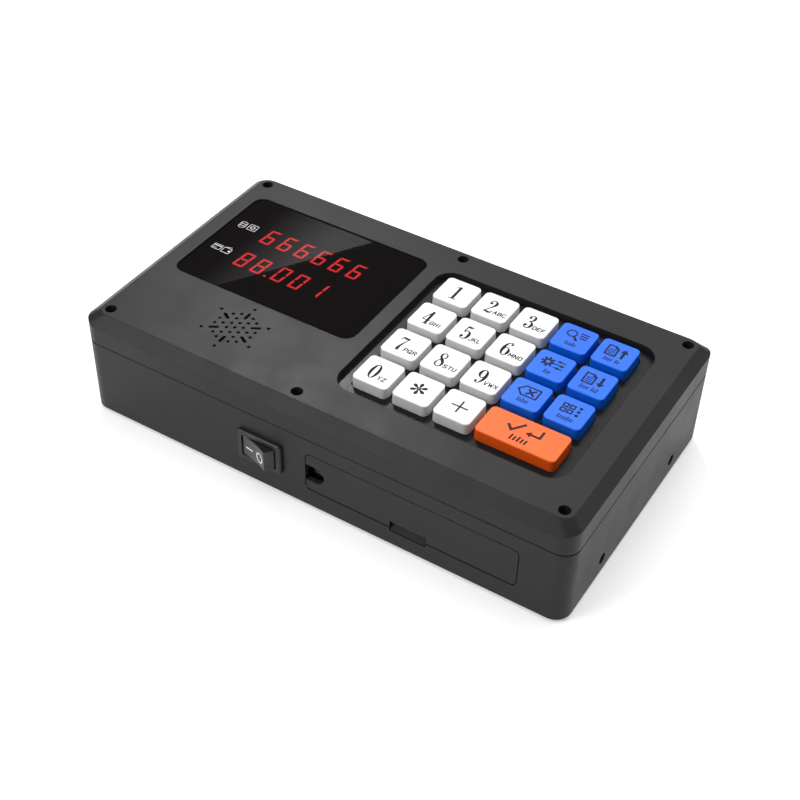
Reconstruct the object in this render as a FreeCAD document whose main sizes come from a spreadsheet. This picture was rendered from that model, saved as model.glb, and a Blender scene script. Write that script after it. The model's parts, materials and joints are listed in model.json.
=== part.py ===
"""Desktop prepaid payment terminal.

Frame: +X to the right along the long front side, +Y to the back, +Z up.
Origin: centre of the overall footprint, on the plane the rubber feet stand on.
Units: millimetres.

Every body is drawn about the centre of the case and carried by its Placement.
All of them share the offset "y_frame" along Y, because the power rocker stands
proud of the front wall and the origin sits at the centre of the whole footprint.
"""
import FreeCAD, Part
import math
import os
import Sketcher
from FreeCAD import Vector as V, Rotation, Placement

doc = FreeCAD.newDocument("prepaid_terminal")

# ---------------------------------------------------------------- dimensions
sheet = doc.addObject("Spreadsheet::Sheet", "dims")
DIMS = [
    # case
    ("y_frame", 2.58), ("foot_gap", 1.2),
    ("case_len", 226.0), ("case_dep", 127.0), ("case_hgt", 49.7),
    ("case_rad", 7.0), ("wall", 2.5), ("floor_thk", 2.5), ("roof_thk", 2.8),
    ("part_z", 37.1), ("top_z", 50.9), ("seam_cham", 0.45),
    ("bevel_in_x", 4.8), ("bevel_in_y", 4.6), ("bevel_drop_x", 3.7), ("bevel_drop_y", 5.1),
    ("cavity_step_z", 44.2), ("cavity_step_in", 5.2),
    ("lip_thk", 1.0), ("lip_deep", 2.0), ("lip_gap", 0.1),
    # cover screws
    ("scr_x", 104.0), ("scr_y", 54.7), ("scr_fx", -11.5), ("scr_bx", -0.7),
    ("scr_boss", 4.0), ("scr_bore", 2.4), ("scr_seat_z", 42.0), ("scr_shank", 1.25),
    ("scr_clear", 1.5), ("scr_pilot", 1.25), ("scr_head", 2.25), ("scr_head_thk", 1.8), ("scr_tip_z", 29.0),
    # display window
    ("lens_cx", -56.1), ("lens_cy", 13.2), ("lens_w", 89.8), ("lens_d", 63.3), ("lens_r", 5.0),
    ("lens_thk", 1.5), ("lens_sink", 0.6), ("lens_gap", 0.25), ("tape_thk", 0.2), ("window_in", 3.6),
    ("frame_w", 95.0), ("frame_d", 66.4), ("frame_cx", -56.5), ("frame_drop", 1.6),
    ("disp_post_x", 44.2), ("disp_post_y", 30.0), ("disp_pcb_z", 40.0), ("disp_pcb_w", 94.0), ("disp_pcb_d", 66.0),
    ("led_w", 54.0), ("led_d", 16.0), ("led_top_z", 47.5), ("led_cx", -58.3), ("led_cy1", 25.0), ("led_cy2", 5.9),
    # keypad
    ("rec_cx", 46.5), ("rec_cy", 0.4), ("rec_w", 101.0), ("rec_d", 88.7), ("rec_r", 8.5),
    ("key_x0", 9.9), ("key_y0", 31.1), ("key_px", 18.2), ("key_py", 20.2),
    ("key_w", 16.4), ("key_d", 16.4), ("key_r", 2.4), ("key_top_z", 52.7), ("key_top_r", 0.4),
    ("key_draft", 2.5), ("key_gap", 0.3), ("key_travel", 2.0), ("key_wall", 1.4), ("key_roof", 2.2),
    ("flange_w", 17.9), ("flange_d", 18.4), ("flange_thk", 1.2), ("flange_gap", 0.3), ("stem_r", 2.6),
    ("plate_w", 109.6), ("plate_d", 97.6), ("plate_thk", 2.0), ("plate_cx", 47.0),
    ("mat_thk", 1.0), ("mat_z", 40.6), ("dome_r0", 5.2), ("dome_r1", 2.8),
    ("kpcb_w", 107.0), ("kpcb_d", 95.0), ("pcb_thk", 1.6),
    ("kpost_r", 2.8), ("kpost_x", 50.4), ("kpost_y", 44.3), ("mat_w", 93.0), ("mat_d", 79.0),
    # loudspeaker
    ("spk_cx", -54.6), ("spk_cy", -36.6), ("spk_pitch", 3.42), ("spk_hole", 0.68), ("spk_slot_w", 1.3),
    ("spk_slot_a", 1.87), ("spk_slot_b", 3.13), ("spk_r", 14.8), ("spk_ring", 16.2),
    # rocker switch
    ("sw_cx", -23.6), ("sw_cz", 20.4), ("bez_w", 21.0), ("bez_d", 15.0), ("bez_thk", 1.8),
    ("sw_body_w", 18.8), ("sw_body_d", 13.0), ("sw_body_len", 16.5), ("sw_cut", 0.2),
    ("rock_half", 6.5), ("rock_wid", 10.2), ("rock_open_w", 16.5), ("rock_open_d", 11.0), ("rock_face", 5.1), ("rock_dip", 4.5),
    ("rock_swing", 32.4), ("rock_pivot", 1.55), ("rock_low", 0.72), ("rock_back", 1.6), ("rock_back_half", 6.6),
    ("well_w", 17.1), ("well_lip", 0.9), ("trun_r", 0.9), ("trun_gap", 0.04),
    # battery door
    ("door_cx", 45.1), ("door_w", 95.0), ("door_zlo", 10.65), ("door_zhi", 30.0), ("door_gap", 0.4),
    ("door_r", 2.8), ("door_thk", 2.4), ("latch_cx", 45.05), ("latch_w", 16.3), ("latch_zlo", 8.95), ("latch_zhi", 14.2),
    ("scoop", 3.0), ("notch_w", 9.0), ("notch_d", 8.4), ("notch_cz", 19.9),
    # side bracket holes
    ("side_y", 32.1), ("side_z", 9.55), ("side_r", 2.5),
    # feet
    ("foot_x", 98.0), ("foot_y", 48.0), ("foot_r", 6.0), ("foot_sink", 1.0),
]
for i, (alias, value) in enumerate(DIMS, 1):
    sheet.set("A%d" % i, alias)
    sheet.set("B%d" % i, repr(value))
    sheet.setAlias("B%d" % i, alias)
doc.recompute()
D = dict((k, float(sheet.get(k))) for k, _ in DIMS)


def val(expr):
    """Number of an expression written in sheet aliases (plain arithmetic only)."""
    if isinstance(expr, (int, float)):
        return float(expr)
    toks, word = [], ""
    for ch in expr + " ":
        if ch.isalnum() or ch in "_.":
            word += ch
        else:
            if word:
                toks.append(word)
                word = ""
            if ch.strip():
                toks.append(ch)
    pos = [0]

    def peek():
        return toks[pos[0]] if pos[0] < len(toks) else None

    def take():
        pos[0] += 1
        return toks[pos[0] - 1]

    def atom():
        tok = take()
        if tok == "(":
            out = add()
            take()
            return out
        if tok == "-":
            return -atom()
        if tok in D:
            return D[tok]
        return float(tok)

    def mul():
        out = atom()
        while peek() in ("*", "/"):
            if take() == "*":
                out *= atom()
            else:
                out /= atom()
        return out

    def add():
        out = mul()
        while peek() in ("+", "-"):
            if take() == "+":
                out += mul()
            else:
                out -= mul()
        return out

    return add()


def cellref(expr):
    """The same expression as FreeCAD reads it, with dims. before each alias."""
    if isinstance(expr, (int, float)):
        return repr(float(expr))
    out, word = "", ""
    for ch in expr + "\0":
        if ch.isalnum() or ch in "_.":
            word += ch
        else:
            out += ("dims." + word) if word in D else word
            word = ""
            if ch != "\0":
                out += ch
    return out


def bind(obj, prop, expr):
    obj.setExpression(prop, cellref(expr))


PARTS = {}


def place(obj, x=0, y=0, z=0, rot=None):
    """Placement of a finished sub-part, bound to the sheet."""
    obj.Placement = Placement(V(val(x), val(y) + D["y_frame"], val(z)), rot or Rotation())
    bind(obj, "Placement.Base.x", x)
    bind(obj, "Placement.Base.y", "(%s) + y_frame" % y)
    bind(obj, "Placement.Base.z", z)


def new_body(name):
    body = doc.addObject("PartDesign::Body", name)
    body.Label = name
    PARTS[name] = body
    return body


def plane_of(body, role):
    for f in body.Origin.OriginFeatures:
        if f.Role == role:
            return f


def sketch(body, name, role="XY_Plane", off=(0, 0, 0)):
    s = body.newObject("Sketcher::SketchObject", name)
    s.AttachmentSupport = [(plane_of(body, role), "")]
    s.MapMode = "FlatFace"
    s.AttachmentOffset = Placement(V(val(off[0]), val(off[1]), val(off[2])), Rotation())
    for axis, e in zip("xyz", off):
        if not isinstance(e, (int, float)) or e != 0:
            bind(s, "AttachmentOffset.Base." + axis, e)
    return s


def add_rect(s, w, d, r=None, tag=""):
    """Rectangle centred on the sketch origin, with rounded corners if r is given."""
    W, H = val(w) / 2, val(d) / 2
    C, G = s.addConstraint, s.addGeometry
    K = Sketcher.Constraint
    if r is None:
        ids = [G(Part.LineSegment(V(-W, -H, 0), V(W, -H, 0)), False),
               G(Part.LineSegment(V(W, -H, 0), V(W, H, 0)), False),
               G(Part.LineSegment(V(W, H, 0), V(-W, H, 0)), False),
               G(Part.LineSegment(V(-W, H, 0), V(-W, -H, 0)), False)]
        a, b, c, e = ids
        for p, q in ((a, b), (b, c), (c, e), (e, a)):
            C(K("Coincident", p, 2, q, 1))
        for h in (a, c):
            C(K("Horizontal", h))
        for v_ in (b, e):
            C(K("Vertical", v_))
        C(K("Symmetric", a, 1, b, 2, -1, 1))
        C(K("DistanceX", a, 1, a, 2, 2 * W))
        s.renameConstraint(s.ConstraintCount - 1, "w" + tag)
        C(K("DistanceY", b, 1, b, 2, 2 * H))
        s.renameConstraint(s.ConstraintCount - 1, "d" + tag)
        bind(s, "Constraints.w" + tag, w)
        bind(s, "Constraints.d" + tag, d)
        return
    R = val(r)
    a = G(Part.LineSegment(V(-W + R, -H, 0), V(W - R, -H, 0)), False)
    b = G(Part.LineSegment(V(W, -H + R, 0), V(W, H - R, 0)), False)
    c = G(Part.LineSegment(V(W - R, H, 0), V(-W + R, H, 0)), False)
    e = G(Part.LineSegment(V(-W, H - R, 0), V(-W, -H + R, 0)), False)

    def arc(cx, cy, a0, a1):
        return G(Part.ArcOfCircle(Part.Circle(V(cx, cy, 0), V(0, 0, 1), R), a0, a1), False)
    p = math.pi
    a1 = arc(W - R, -H + R, -p / 2, 0)
    a2 = arc(W - R, H - R, 0, p / 2)
    a3 = arc(-W + R, H - R, p / 2, p)
    a4 = arc(-W + R, -H + R, p, 1.5 * p)
    for l1, ac, l2 in ((a, a1, b), (b, a2, c), (c, a3, e), (e, a4, a)):
        C(K("Tangent", l1, 2, ac, 1))
        C(K("Tangent", ac, 2, l2, 1))
    for h in (a, c):
        C(K("Horizontal", h))
    for v_ in (b, e):
        C(K("Vertical", v_))
    for o in (a2, a3, a4):
        C(K("Equal", a1, o))
    C(K("Symmetric", a4, 3, a2, 3, -1, 1))
    C(K("Radius", a1, R))
    s.renameConstraint(s.ConstraintCount - 1, "r" + tag)
    C(K("DistanceX", e, 2, b, 1, 2 * W))
    s.renameConstraint(s.ConstraintCount - 1, "w" + tag)
    C(K("DistanceY", a, 1, c, 2, 2 * H))
    s.renameConstraint(s.ConstraintCount - 1, "d" + tag)
    bind(s, "Constraints.r" + tag, r)
    bind(s, "Constraints.w" + tag, w)
    bind(s, "Constraints.d" + tag, d)


def add_circle(s, r, tag="", at=None):
    """Circle on the sketch origin, or at (x, y) given as two expressions."""
    K = Sketcher.Constraint
    x, y = (val(at[0]), val(at[1])) if at else (0.0, 0.0)
    c = s.addGeometry(Part.Circle(V(x, y, 0), V(0, 0, 1), val(r)), False)
    s.addConstraint(K("Radius", c, val(r)))
    s.renameConstraint(s.ConstraintCount - 1, "r" + tag)
    bind(s, "Constraints.r" + tag, r)
    if not at:
        s.addConstraint(K("Coincident", c, 3, -1, 1))
        return
    for kind, nm, e, v_ in (("DistanceX", "x", at[0], x), ("DistanceY", "y", at[1], y)):
        s.addConstraint(K(kind, -1, 1, c, 3, v_))
        s.renameConstraint(s.ConstraintCount - 1, nm + tag)
        bind(s, "Constraints." + nm + tag, e)


def add_poly(s, pts, tag=""):
    """Closed polygon; each corner is bound to the sheet by its x and y expressions."""
    K = Sketcher.Constraint
    P = [(val(x), val(y)) for x, y in pts]
    n = len(P)
    ids = [s.addGeometry(Part.LineSegment(V(P[i][0], P[i][1], 0), V(P[(i + 1) % n][0], P[(i + 1) % n][1], 0)), False) for i in range(n)]
    for i in range(n):
        s.addConstraint(K("Coincident", ids[i], 2, ids[(i + 1) % n], 1))
    for i in range(n):
        for kind, nm, e, v_ in (("DistanceX", "x", pts[i][0], P[i][0]), ("DistanceY", "y", pts[i][1], P[i][1])):
            s.addConstraint(K(kind, -1, 1, ids[i], 1, v_))
            s.renameConstraint(s.ConstraintCount - 1, "%s%s%d" % (nm, tag, i))
            bind(s, "Constraints.%s%s%d" % (nm, tag, i), e)


def pad(body, s, length, reverse=False, name=None, taper=None, mid=False):
    p = body.newObject("PartDesign::Pad", name or s.Name + "_pad")
    p.Profile = s
    p.Length = val(length)
    bind(p, "Length", length)
    p.Reversed = reverse
    if mid:
        p.Midplane = True
    if taper is not None:
        p.TaperAngle = val(taper)
        bind(p, "TaperAngle", taper)
    s.Visibility = False
    doc.recompute()
    return p


def pocket(body, s, length, reverse=False, name=None, mid=False, taper=None):
    before = body.Shape.Volume
    p = body.newObject("PartDesign::Pocket", name or s.Name + "_cut")
    p.Profile = s
    p.Length = val(length)
    bind(p, "Length", length)
    p.Reversed = reverse
    if mid:
        p.Midplane = True
    if taper is not None:
        p.TaperAngle = val(taper)
        bind(p, "TaperAngle", taper)
    doc.recompute()
    if not body.Shape.Volume < before - 1e-6:
        raise RuntimeError("%s cut nothing from %s" % (p.Name, body.Label))
    return p


def edges_where(shape, test):
    return ["Edge%d" % (i + 1) for i, e in enumerate(shape.Edges) if test(e)]


def fillet(body, radius, test, name):
    base = body.Tip
    names = edges_where(base.Shape, test)
    if not names:
        raise RuntimeError("no edges for %s" % name)
    f = body.newObject("PartDesign::Fillet", name)
    f.Base = (base, names)
    f.Radius = val(radius)
    bind(f, "Radius", radius)
    doc.recompute()
    return f


def chamfer(body, size, test, name):
    base = body.Tip
    names = edges_where(base.Shape, test)
    if not names:
        raise RuntimeError("no edges for %s" % name)
    f = body.newObject("PartDesign::Chamfer", name)
    f.Base = (base, names)
    f.Size = val(size)
    bind(f, "Size", size)
    doc.recompute()
    return f


def at_z(e, z, tol=1e-4):
    bb = e.BoundBox
    return abs(bb.ZMin - z) < tol and abs(bb.ZMax - z) < tol


def at_y(e, y, tol=1e-4):
    bb = e.BoundBox
    return abs(bb.YMin - y) < tol and abs(bb.YMax - y) < tol


# cover screw positions (six), as sheet expressions
SCREWS = [("-scr_x", "-scr_y"), ("scr_x", "-scr_y"), ("-scr_x", "scr_y"), ("scr_x", "scr_y"),
          ("scr_fx", "-scr_y"), ("scr_bx", "scr_y")]
HL, HD = "case_len / 2", "case_dep / 2"

# ------------------------------------------------------------ top cover blank
# Upright prism with rounded corners, met by a flat-sided pyramid that gives the
# sloping bevel round the top; the front slope is steeper than the side slope.
prism0 = doc.addObject("Part::Box", "cover_prism_box")
for prop, e in (("Length", "case_len"), ("Width", "case_dep"), ("Height", "top_z - part_z")):
    bind(prism0, prop, e)
prism0.Placement.Base = V(-D["case_len"] / 2, -D["case_dep"] / 2, D["part_z"])
bind(prism0, "Placement.Base.x", "-case_len / 2")
bind(prism0, "Placement.Base.y", "-case_dep / 2")
bind(prism0, "Placement.Base.z", "part_z")
doc.recompute()
prism = doc.addObject("Part::Fillet", "cover_prism")
prism.Base = prism0
prism.Edges = [(i + 1, D["case_rad"], D["case_rad"]) for i, e in enumerate(prism0.Shape.Edges)
               if e.BoundBox.ZLength > 1 and e.BoundBox.XLength < 1e-6 and e.BoundBox.YLength < 1e-6]
# The pyramid starts 6 mm below the bevel's foot, wide enough that only the bevel is cut.
slope_x = "(bevel_in_x / bevel_drop_x)"
slope_y = "(bevel_in_y / bevel_drop_y)"
pyr = doc.addObject("Part::Wedge", "cover_pyramid_wedge")
low = "(top_z - part_z + 1)"
for prop, e in (("Xmin", "-(case_len / 2 - bevel_in_x + %s * %s)" % (low, slope_x)),
                ("Xmax", "case_len / 2 - bevel_in_x + %s * %s" % (low, slope_x)),
                ("Zmin", "-(case_dep / 2 - bevel_in_y + %s * %s)" % (low, slope_y)),
                ("Zmax", "case_dep / 2 - bevel_in_y + %s * %s" % (low, slope_y)),
                ("Ymin", "part_z - 1"), ("Ymax", "top_z"),
                ("X2min", "-(case_len / 2 - bevel_in_x)"), ("X2max", "case_len / 2 - bevel_in_x"),
                ("Z2min", "-(case_dep / 2 - bevel_in_y)"), ("Z2max", "case_dep / 2 - bevel_in_y")):
    bind(pyr, prop, e)
pyr.Placement = Placement(V(0, 0, 0), Rotation(V(1, 0, 0), 90))
doc.recompute()
pyramid = doc.addObject("Part::Fillet", "cover_pyramid")
pyramid.Base = pyr
pyramid.Edges = [(i + 1, 7.5, 7.5) for i, e in enumerate(pyr.Shape.Edges)
                 if e.BoundBox.ZLength > 1 and e.BoundBox.XLength > 1 and e.BoundBox.YLength > 1]
blank = doc.addObject("Part::Common", "cover_blank")
blank.Base, blank.Tool = prism, pyramid
doc.recompute()

# ------------------------------------------------------------------ top cover
cover = new_body("top_cover")
cover.BaseFeature = blank
doc.recompute()
s = sketch(cover, "cover_cavity_low", off=(0, 0, "part_z"))
add_rect(s, "case_len - 2 * wall", "case_dep - 2 * wall", "case_rad - wall")
pocket(cover, s, "cavity_step_z - part_z", reverse=True)
s = sketch(cover, "cover_cavity_high", off=(0, 0, "cavity_step_z - 0.5"))
add_rect(s, "case_len - 2 * wall - 2 * cavity_step_in", "case_dep - 2 * wall - 2 * cavity_step_in", 4.0)
pocket(cover, s, "top_z - roof_thk - cavity_step_z + 0.5", reverse=True)
# locating lip that drops inside the lower housing
s = sketch(cover, "cover_lip", off=(0, 0, "part_z + 2"))
add_rect(s, "case_len - 2 * wall + 2 * lip_thk", "case_dep - 2 * wall + 2 * lip_thk", "case_rad - wall + lip_thk", "o")
add_rect(s, "case_len - 2 * wall", "case_dep - 2 * wall", "case_rad - wall", "i")
pad(cover, s, "lip_deep + 2", reverse=True)
# screw posts from the roof to the parting plane
s = sketch(cover, "cover_posts", off=(0, 0, "part_z"))
for n, (x, y) in enumerate(SCREWS):
    add_circle(s, "scr_boss", str(n), (x, y))
pad(cover, s, "top_z - roof_thk + 0.4 - part_z")
# frame that carries the display lens
s = sketch(cover, "cover_lens_frame", off=("frame_cx", "lens_cy", "top_z - roof_thk - frame_drop"))
add_rect(s, "frame_w", "frame_d", 6.0)
pad(cover, s, "frame_drop + 0.4")
s = sketch(cover, "cover_lens_seat", off=("lens_cx", "lens_cy", "top_z"))
add_rect(s, "lens_w + 2 * lens_gap", "lens_d + 2 * lens_gap", "lens_r + lens_gap")
pocket(cover, s, "lens_sink + lens_thk + tape_thk")
s = sketch(cover, "cover_window", off=("lens_cx", "lens_cy", "top_z"))
add_rect(s, "lens_w - 2 * window_in", "lens_d - 2 * window_in", 3.0)
pocket(cover, s, "roof_thk + frame_drop + 1")
# keypad recess, open down to the keypad plate
s = sketch(cover, "cover_keypad", off=("rec_cx", "rec_cy", "top_z"))
add_rect(s, "rec_w", "rec_d", "rec_r")
pocket(cover, s, "roof_thk + 0.5")
# screw wells and clearance holes
s = sketch(cover, "cover_wells", off=(0, 0, "top_z"))
for n, (x, y) in enumerate(SCREWS):
    add_circle(s, "scr_bore", str(n), (x, y))
pocket(cover, s, "top_z - scr_seat_z")
s = sketch(cover, "cover_clear", off=(0, 0, "top_z"))
for n, (x, y) in enumerate(SCREWS):
    add_circle(s, "scr_clear", str(n), (x, y))
pocket(cover, s, "top_z - part_z + 1")
# posts and pilots for the display board, and blind pilots for the keypad screws
DP = [("lens_cx + %sdisp_post_x" % sx, "lens_cy + %sdisp_post_y" % sy) for sx in ("", "0 - ") for sy in ("", "0 - ")]
DP = [(x.replace("+ 0 -", "-"), y.replace("+ 0 -", "-")) for x, y in DP]
s = sketch(cover, "cover_display_posts", off=(0, 0, "disp_pcb_z + pcb_thk"))
for n, (x, y) in enumerate(DP):
    add_circle(s, 2.5, str(n), (x, y))
pad(cover, s, "top_z - roof_thk - frame_drop + 0.3 - disp_pcb_z - pcb_thk")
s = sketch(cover, "cover_display_pilots", off=(0, 0, "disp_pcb_z + pcb_thk"))
for n, (x, y) in enumerate(DP):
    add_circle(s, 0.9, str(n), (x, y))
pocket(cover, s, 5.0, reverse=True)
KP = [("plate_cx - kpost_x", "rec_cy - kpost_y"), ("plate_cx + kpost_x", "rec_cy - kpost_y"),
      ("plate_cx - kpost_x", "rec_cy + kpost_y"), ("plate_cx + kpost_x", "rec_cy + kpost_y")]
s = sketch(cover, "cover_keypad_pilots", off=(0, 0, "top_z - roof_thk"))
for n, (x, y) in enumerate(KP):
    add_circle(s, 0.9, str(n), (x, y))
pocket(cover, s, 2.1, reverse=True)
# loudspeaker grille: a hexagonal field of round holes with six radial slots
a_ = D["spk_pitch"]
LAT = []
for i in range(-4, 5):
    for j in range(-4, 5):
        # lattice axes at 30 and 90 degrees
        x = i * a_ * math.cos(math.radians(30))
        y = i * a_ * math.sin(math.radians(30)) + j * a_
        r2 = i * i + j * j + i * j
        if r2 in (0, 1, 3, 7, 16) and not (r2 == 16 and not (i == 0 or j == 0 or i == -j)):
            LAT.append((x, y))
s = sketch(cover, "cover_grille", off=("spk_cx", "spk_cy", "top_z"))
for n, (x, y) in enumerate(LAT):
    s.addGeometry(Part.Circle(V(x, y, 0), V(0, 0, 1), D["spk_hole"]), False)
for n in range(6):
    t = math.radians(30 + 60 * n)
    u, w = V(math.cos(t), math.sin(t), 0), V(-math.sin(t), math.cos(t), 0)
    r = D["spk_slot_w"] / 2
    p0, p1 = u * (a_ * D["spk_slot_a"] + r), u * (a_ * D["spk_slot_b"] - r)
    s.addGeometry(Part.LineSegment(p0 + w * r, p1 + w * r), False)
    s.addGeometry(Part.Arc(p1 + w * r, p1 + u * r, p1 - w * r), False)
    s.addGeometry(Part.LineSegment(p1 - w * r, p0 - w * r), False)
    s.addGeometry(Part.Arc(p0 - w * r, p0 - u * r, p0 + w * r), False)
for g_ in range(s.GeometryCount):
    s.addConstraint(Sketcher.Constraint("Block", g_))
pocket(cover, s, "roof_thk + 0.5")
# chamfer along the outer lower rim: upper half of the seam groove
chamfer(cover, "seam_cham", lambda e: at_z(e, D["part_z"]) and (
    e.BoundBox.XMin < -D["case_len"] / 2 + 0.01 or e.BoundBox.XMax > D["case_len"] / 2 - 0.01
    or e.BoundBox.YMin < -D["case_dep"] / 2 + 0.01 or e.BoundBox.YMax > D["case_dep"] / 2 - 0.01), "cover_seam")
place(cover)

# -------------------------------------------------------------- lower housing
low_h = new_body("lower_housing")
s = sketch(low_h, "housing_outer", off=(0, 0, "foot_gap"))
add_rect(s, "case_len", "case_dep", "case_rad")
pad(low_h, s, "part_z - foot_gap")
fillet(low_h, 1.0, lambda e: at_z(e, D["foot_gap"]), "housing_foot_round")
s = sketch(low_h, "housing_cavity", off=(0, 0, "part_z"))
add_rect(s, "case_len - 2 * wall", "case_dep - 2 * wall", "case_rad - wall")
pocket(low_h, s, "part_z - foot_gap - floor_thk")
s = sketch(low_h, "housing_rim", off=(0, 0, "part_z"))
add_rect(s, "case_len - 2 * wall + 2 * lip_thk + 2 * lip_gap", "case_dep - 2 * wall + 2 * lip_thk + 2 * lip_gap",
         "case_rad - wall + lip_thk + lip_gap")
pocket(low_h, s, "lip_deep + 0.3")
# screw pillars
s = sketch(low_h, "housing_pillars", off=(0, 0, "foot_gap + 1"))
for n, (x, y) in enumerate(SCREWS):
    add_circle(s, "scr_boss", str(n), (x, y))
pad(low_h, s, "part_z - foot_gap - 1")
s = sketch(low_h, "housing_pilots", off=(0, 0, "part_z"))
for n, (x, y) in enumerate(SCREWS):
    add_circle(s, "scr_pilot", str(n), (x, y))
pocket(low_h, s, "part_z - scr_tip_z + 1")
# posts for the main board
MB = [("-100", "-4"), ("-100", "44"), ("-22", "-4"), ("-22", "44")]
s = sketch(low_h, "housing_board_posts", off=(0, 0, "foot_gap + 1"))
for n, (x, y) in enumerate(MB):
    add_circle(s, 3.0, str(n), (x, y))
pad(low_h, s, "10 - foot_gap - 1")
s = sketch(low_h, "housing_board_pilots", off=(0, 0, 10.0))
for n, (x, y) in enumerate(MB):
    add_circle(s, 1.0, str(n), (x, y))
pocket(low_h, s, 5.0)
# front wall: door opening, latch bay, switch cut-out (drawn in the XZ plane)
s = sketch(low_h, "housing_door", "XZ_Plane", off=("door_cx", "(door_zlo + door_zhi) / 2", "case_dep / 2 + 1"))
add_rect(s, "door_w", "door_zhi - door_zlo", "door_r")
pocket(low_h, s, "wall + 1.5")
s = sketch(low_h, "housing_latch", "XZ_Plane", off=("latch_cx", "(latch_zlo + door_zlo + 2) / 2", "case_dep / 2 + 1"))
add_rect(s, "latch_w", "door_zlo + 2 - latch_zlo")
pocket(low_h, s, "wall + 1.5")
s = sketch(low_h, "housing_switch", "XZ_Plane", off=("sw_cx", "sw_cz", "case_dep / 2 + 1"))
add_rect(s, "sw_body_w + 2 * sw_cut", "sw_body_d + 2 * sw_cut")
pocket(low_h, s, "wall + 1.5")
# right wall: two holes for a bracket
s = sketch(low_h, "housing_side", "YZ_Plane", off=(0, "side_z", "case_len / 2 + 1"))
add_circle(s, "side_r", "a", ("-side_y", 0))
add_circle(s, "side_r", "b", ("side_y", 0))
pocket(low_h, s, "wall + 1.5")
# recesses for the feet
s = sketch(low_h, "housing_feet", off=(0, 0, "foot_gap"))
for n, (sx, sy) in enumerate(((-1, -1), (1, -1), (-1, 1), (1, 1))):
    add_circle(s, "foot_r + 0.1", str(n), ("%d * foot_x" % sx if sx > 0 else "-foot_x", "foot_y" if sy > 0 else "-foot_y"))
pocket(low_h, s, "foot_sink", reverse=True)
chamfer(low_h, "seam_cham", lambda e: at_z(e, D["part_z"]) and (
    e.BoundBox.XMin < -D["case_len"] / 2 + 0.01 or e.BoundBox.XMax > D["case_len"] / 2 - 0.01
    or e.BoundBox.YMin < -D["case_dep"] / 2 + 0.01 or e.BoundBox.YMax > D["case_dep"] / 2 - 0.01), "housing_seam")
# flat on the front screw pillar that clears the switch body
s = sketch(low_h, "housing_switch_relief", off=("sw_cx", "0 - case_dep / 2 + sw_body_len / 2", "sw_cz + sw_body_d / 2 + 0.4"))
add_rect(s, "sw_body_w + 0.8", "sw_body_len - 0.8")
pocket(low_h, s, "sw_body_d + 0.8")
place(low_h)

# --------------------------------------------------------------- display lens
lens = new_body("display_lens")
s = sketch(lens, "lens_outline", off=(0, 0, "top_z - lens_sink - lens_thk"))
add_rect(s, "lens_w", "lens_d", "lens_r")
pad(lens, s, "lens_thk")
chamfer(lens, 0.25, lambda e: at_z(e, D["top_z"] - D["lens_sink"]), "lens_edge")
place(lens, "lens_cx", "lens_cy")

tape = new_body("lens_tape")
s = sketch(tape, "tape_outline", off=(0, 0, "top_z - lens_sink - lens_thk - tape_thk"))
add_rect(s, "lens_w - 0.4", "lens_d - 0.4", "lens_r - 0.2", "o")
add_rect(s, "lens_w - 2 * window_in + 0.4", "lens_d - 2 * window_in + 0.4", 3.2, "i")
pad(tape, s, "tape_thk")
place(tape, "lens_cx", "lens_cy")

dpcb = new_body("display_board")
s = sketch(dpcb, "display_board_outline", off=("lens_cx", "lens_cy", "disp_pcb_z"))
add_rect(s, "disp_pcb_w", "disp_pcb_d", 2.0)
pad(dpcb, s, "pcb_thk")
s = sketch(dpcb, "display_board_holes", off=(0, 0, "disp_pcb_z"))
for n, (x, y) in enumerate(DP):
    add_circle(s, 1.15, str(n), (x, y))
pocket(dpcb, s, "pcb_thk + 1", reverse=True)
place(dpcb)

for nm, cy in (("led_digits_upper", "led_cy1"), ("led_digits_lower", "led_cy2")):
    led = new_body(nm)
    s = sketch(led, nm + "_outline", off=(0, 0, "disp_pcb_z + pcb_thk"))
    add_rect(s, "led_w", "led_d")
    pad(led, s, "led_top_z - disp_pcb_z - pcb_thk")
    chamfer(led, 0.3, lambda e: at_z(e, D["led_top_z"]), nm + "_edge")
    place(led, "led_cx", cy)

coil = new_body("card_antenna")
s = sketch(coil, "coil_outline", off=(0, 0, "disp_pcb_z + pcb_thk"))
add_rect(s, 83.0, 55.0, 3.0, "o")
add_rect(s, 78.0, 50.0, 1.5, "i")
pad(coil, s, 0.3)
place(coil, "lens_cx", "lens_cy")

# --------------------------------------------------------------------- keypad
plate_z = "(top_z - roof_thk - plate_thk)"
plate = new_body("keypad_plate")
s = sketch(plate, "plate_outline", off=("plate_cx", "rec_cy", plate_z))
add_rect(s, "plate_w", "plate_d", 5.0)
pad(plate, s, "plate_thk")
s = sketch(plate, "plate_posts", off=(0, 0, "mat_z"))
for n, (x, y) in enumerate(KP):
    add_circle(s, "kpost_r", str(n), (x, y))
pad(plate, s, plate_z + " + 0.5 - mat_z")


def key_windows(name, x, y, w, nx, ny):
    """One key window repeated nx by ny times at the key pitch."""
    s = sketch(plate, name, off=(x, y, "top_z - roof_thk"))
    add_rect(s, w + " + 2 * key_gap", "key_d + 2 * key_gap", "key_r + key_gap")
    first = pocket(plate, s, "plate_thk + 1")
    if nx * ny == 1:
        return
    multi = plate.newObject("PartDesign::MultiTransform", name + "_grid")
    steps = []
    for axis, count, pitch, flip in (("H_Axis", nx, "key_px", False), ("V_Axis", ny, "key_py", True)):
        lp = plate.newObject("PartDesign::LinearPattern", name + "_" + axis[0])
        lp.Direction = (s, [axis])
        lp.Reversed = flip
        lp.Occurrences = count
        lp.Length = val("%s * %d" % (pitch, count - 1))
        bind(lp, "Length", "%s * %d" % (pitch, count - 1))
        steps.append(lp)
    multi.Originals = [first]
    multi.Transformations = steps
    plate.Tip = multi
    doc.recompute()


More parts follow.
